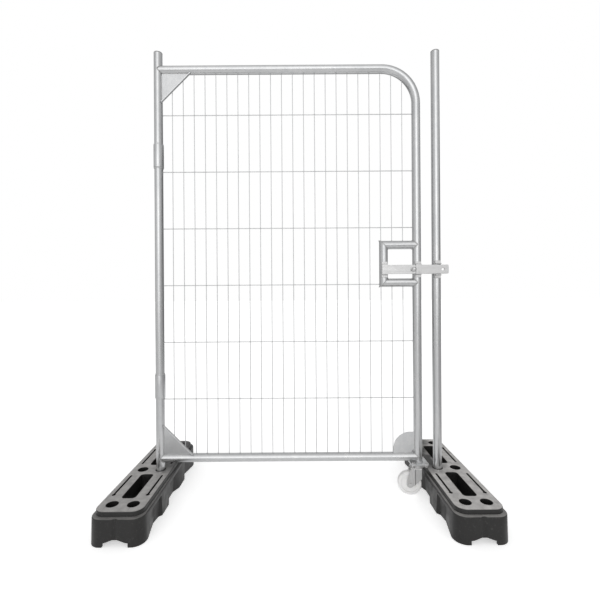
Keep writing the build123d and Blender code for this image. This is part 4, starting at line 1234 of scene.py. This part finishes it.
def make_floor():
    """A plain pale floor, which bounces less light than it shows, and least at its sides and back."""
    look = Look("pale_floor")
    mottle = look.noise(3.0, detail=4.0)
    tone = look.mix(mottle, grey(FLOOR_SHADE * FLOOR_MOTTLE), grey(FLOOR_SHADE))
    seen = look.node("LightPath").outputs["Is Camera Ray"]
    place = look.parts(look.place)
    share = 1.0
    for direction, near, far, left in FLOOR_FADES:
        share = look.times(share, look.remap(place[direction], near, far, 1.0, left))
    bounce = look.mix(share, grey(0.0), grey(FLOOR_BOUNCE))
    lift = look.times(share, FLOOR_LIFT)
    look.shade({
        "Base Color": look.mix(seen, bounce, tone),
        "Roughness": FLOOR_ROUGHNESS,
        "Specular IOR Level": 0.0,
        "Emission Color": grey(1.0),
        "Emission Strength": look.remap(seen, 0.0, 1.0, lift, FLOOR_GLOW),
    })
    reach = FLOOR_REACH
    corners = [(-reach, -reach, 0), (reach, -reach, 0), (reach, reach, 0), (-reach, reach, 0)]
    mesh = bpy.data.meshes.new("floor")
    mesh.from_pydata(corners, [], [(0, 1, 2, 3)])
    mesh.materials.append(look.material)
    add_object("floor", mesh)


def ramp_stops(ramp, stops):
    """Sets a colour ramp's grey stops from (place, shade) pairs."""
    while len(ramp.elements) < len(stops):
        ramp.elements.new(1.0)
    for element, (place, shade) in zip(ramp.elements, stops):
        element.position = place
        element.color = grey(shade)


def make_world():
    """A white room, with darker walls at the sides and back that show only in the gloss."""
    world = bpy.data.worlds.new("studio")
    world.use_nodes = True
    room = NodeTree(world.node_tree)
    nodes = world.node_tree.nodes
    white = nodes["Background"]
    white.inputs["Color"].default_value = grey(1.0)
    place = room.parts(room.node("TexCoord").outputs["Generated"])
    shade = (1, 1, 1)
    for direction, stops in WALLS.items():
        ramp = room.node("ValToRGB", room.remap(place[direction], -1.0, 1.0, 0.0, 1.0))
        ramp_stops(ramp.color_ramp, stops)
        darker = room.node("VectorMath", ramp.outputs["Color"], shade, operation="MULTIPLY")
        shade = darker.outputs["Vector"]
    walls = room.node("Background", shade)
    seen = room.node("LightPath").outputs["Is Camera Ray"]
    choice = room.node("MixShader", seen, walls.outputs["Background"], white.outputs["Background"])
    room.feed(nodes["World Output"].inputs["Surface"], choice.outputs["Shader"])
    bpy.context.scene.world = world


def make_sun():
    """Soft light from above, in front and a little to the left."""
    light = bpy.data.lights.new("soft_sun", "SUN")
    light.energy = SUN_STRENGTH
    light.angle = SUN_SPREAD
    lamp = add_object("soft_sun", light)
    lamp.rotation_euler = Vector(SUN_HEADING).to_track_quat("-Z", "Y").to_euler()


def make_camera():
    """The photograph's view: level, low and close, with a wide lens."""
    lens = bpy.data.cameras.new("camera")
    lens.lens = CAMERA_LENS
    lens.shift_x, lens.shift_y = CAMERA_SHIFT
    camera = add_object("camera", lens)
    camera.location = CAMERA_PLACE
    camera.rotation_euler = (radians(90), 0, 0)
    camera.rotation_euler.rotate_axis("Z", CAMERA_ROLL)
    bpy.context.scene.camera = camera


make_tubes()
make_sleeves()
make_wires()
make_gussets()
make_latch()
make_feet()
make_castor()
make_tube_welds()
make_plate_welds()
make_floor()
make_world()
make_camera()
make_sun()
bpy.context.scene.view_settings.view_transform = "Standard"
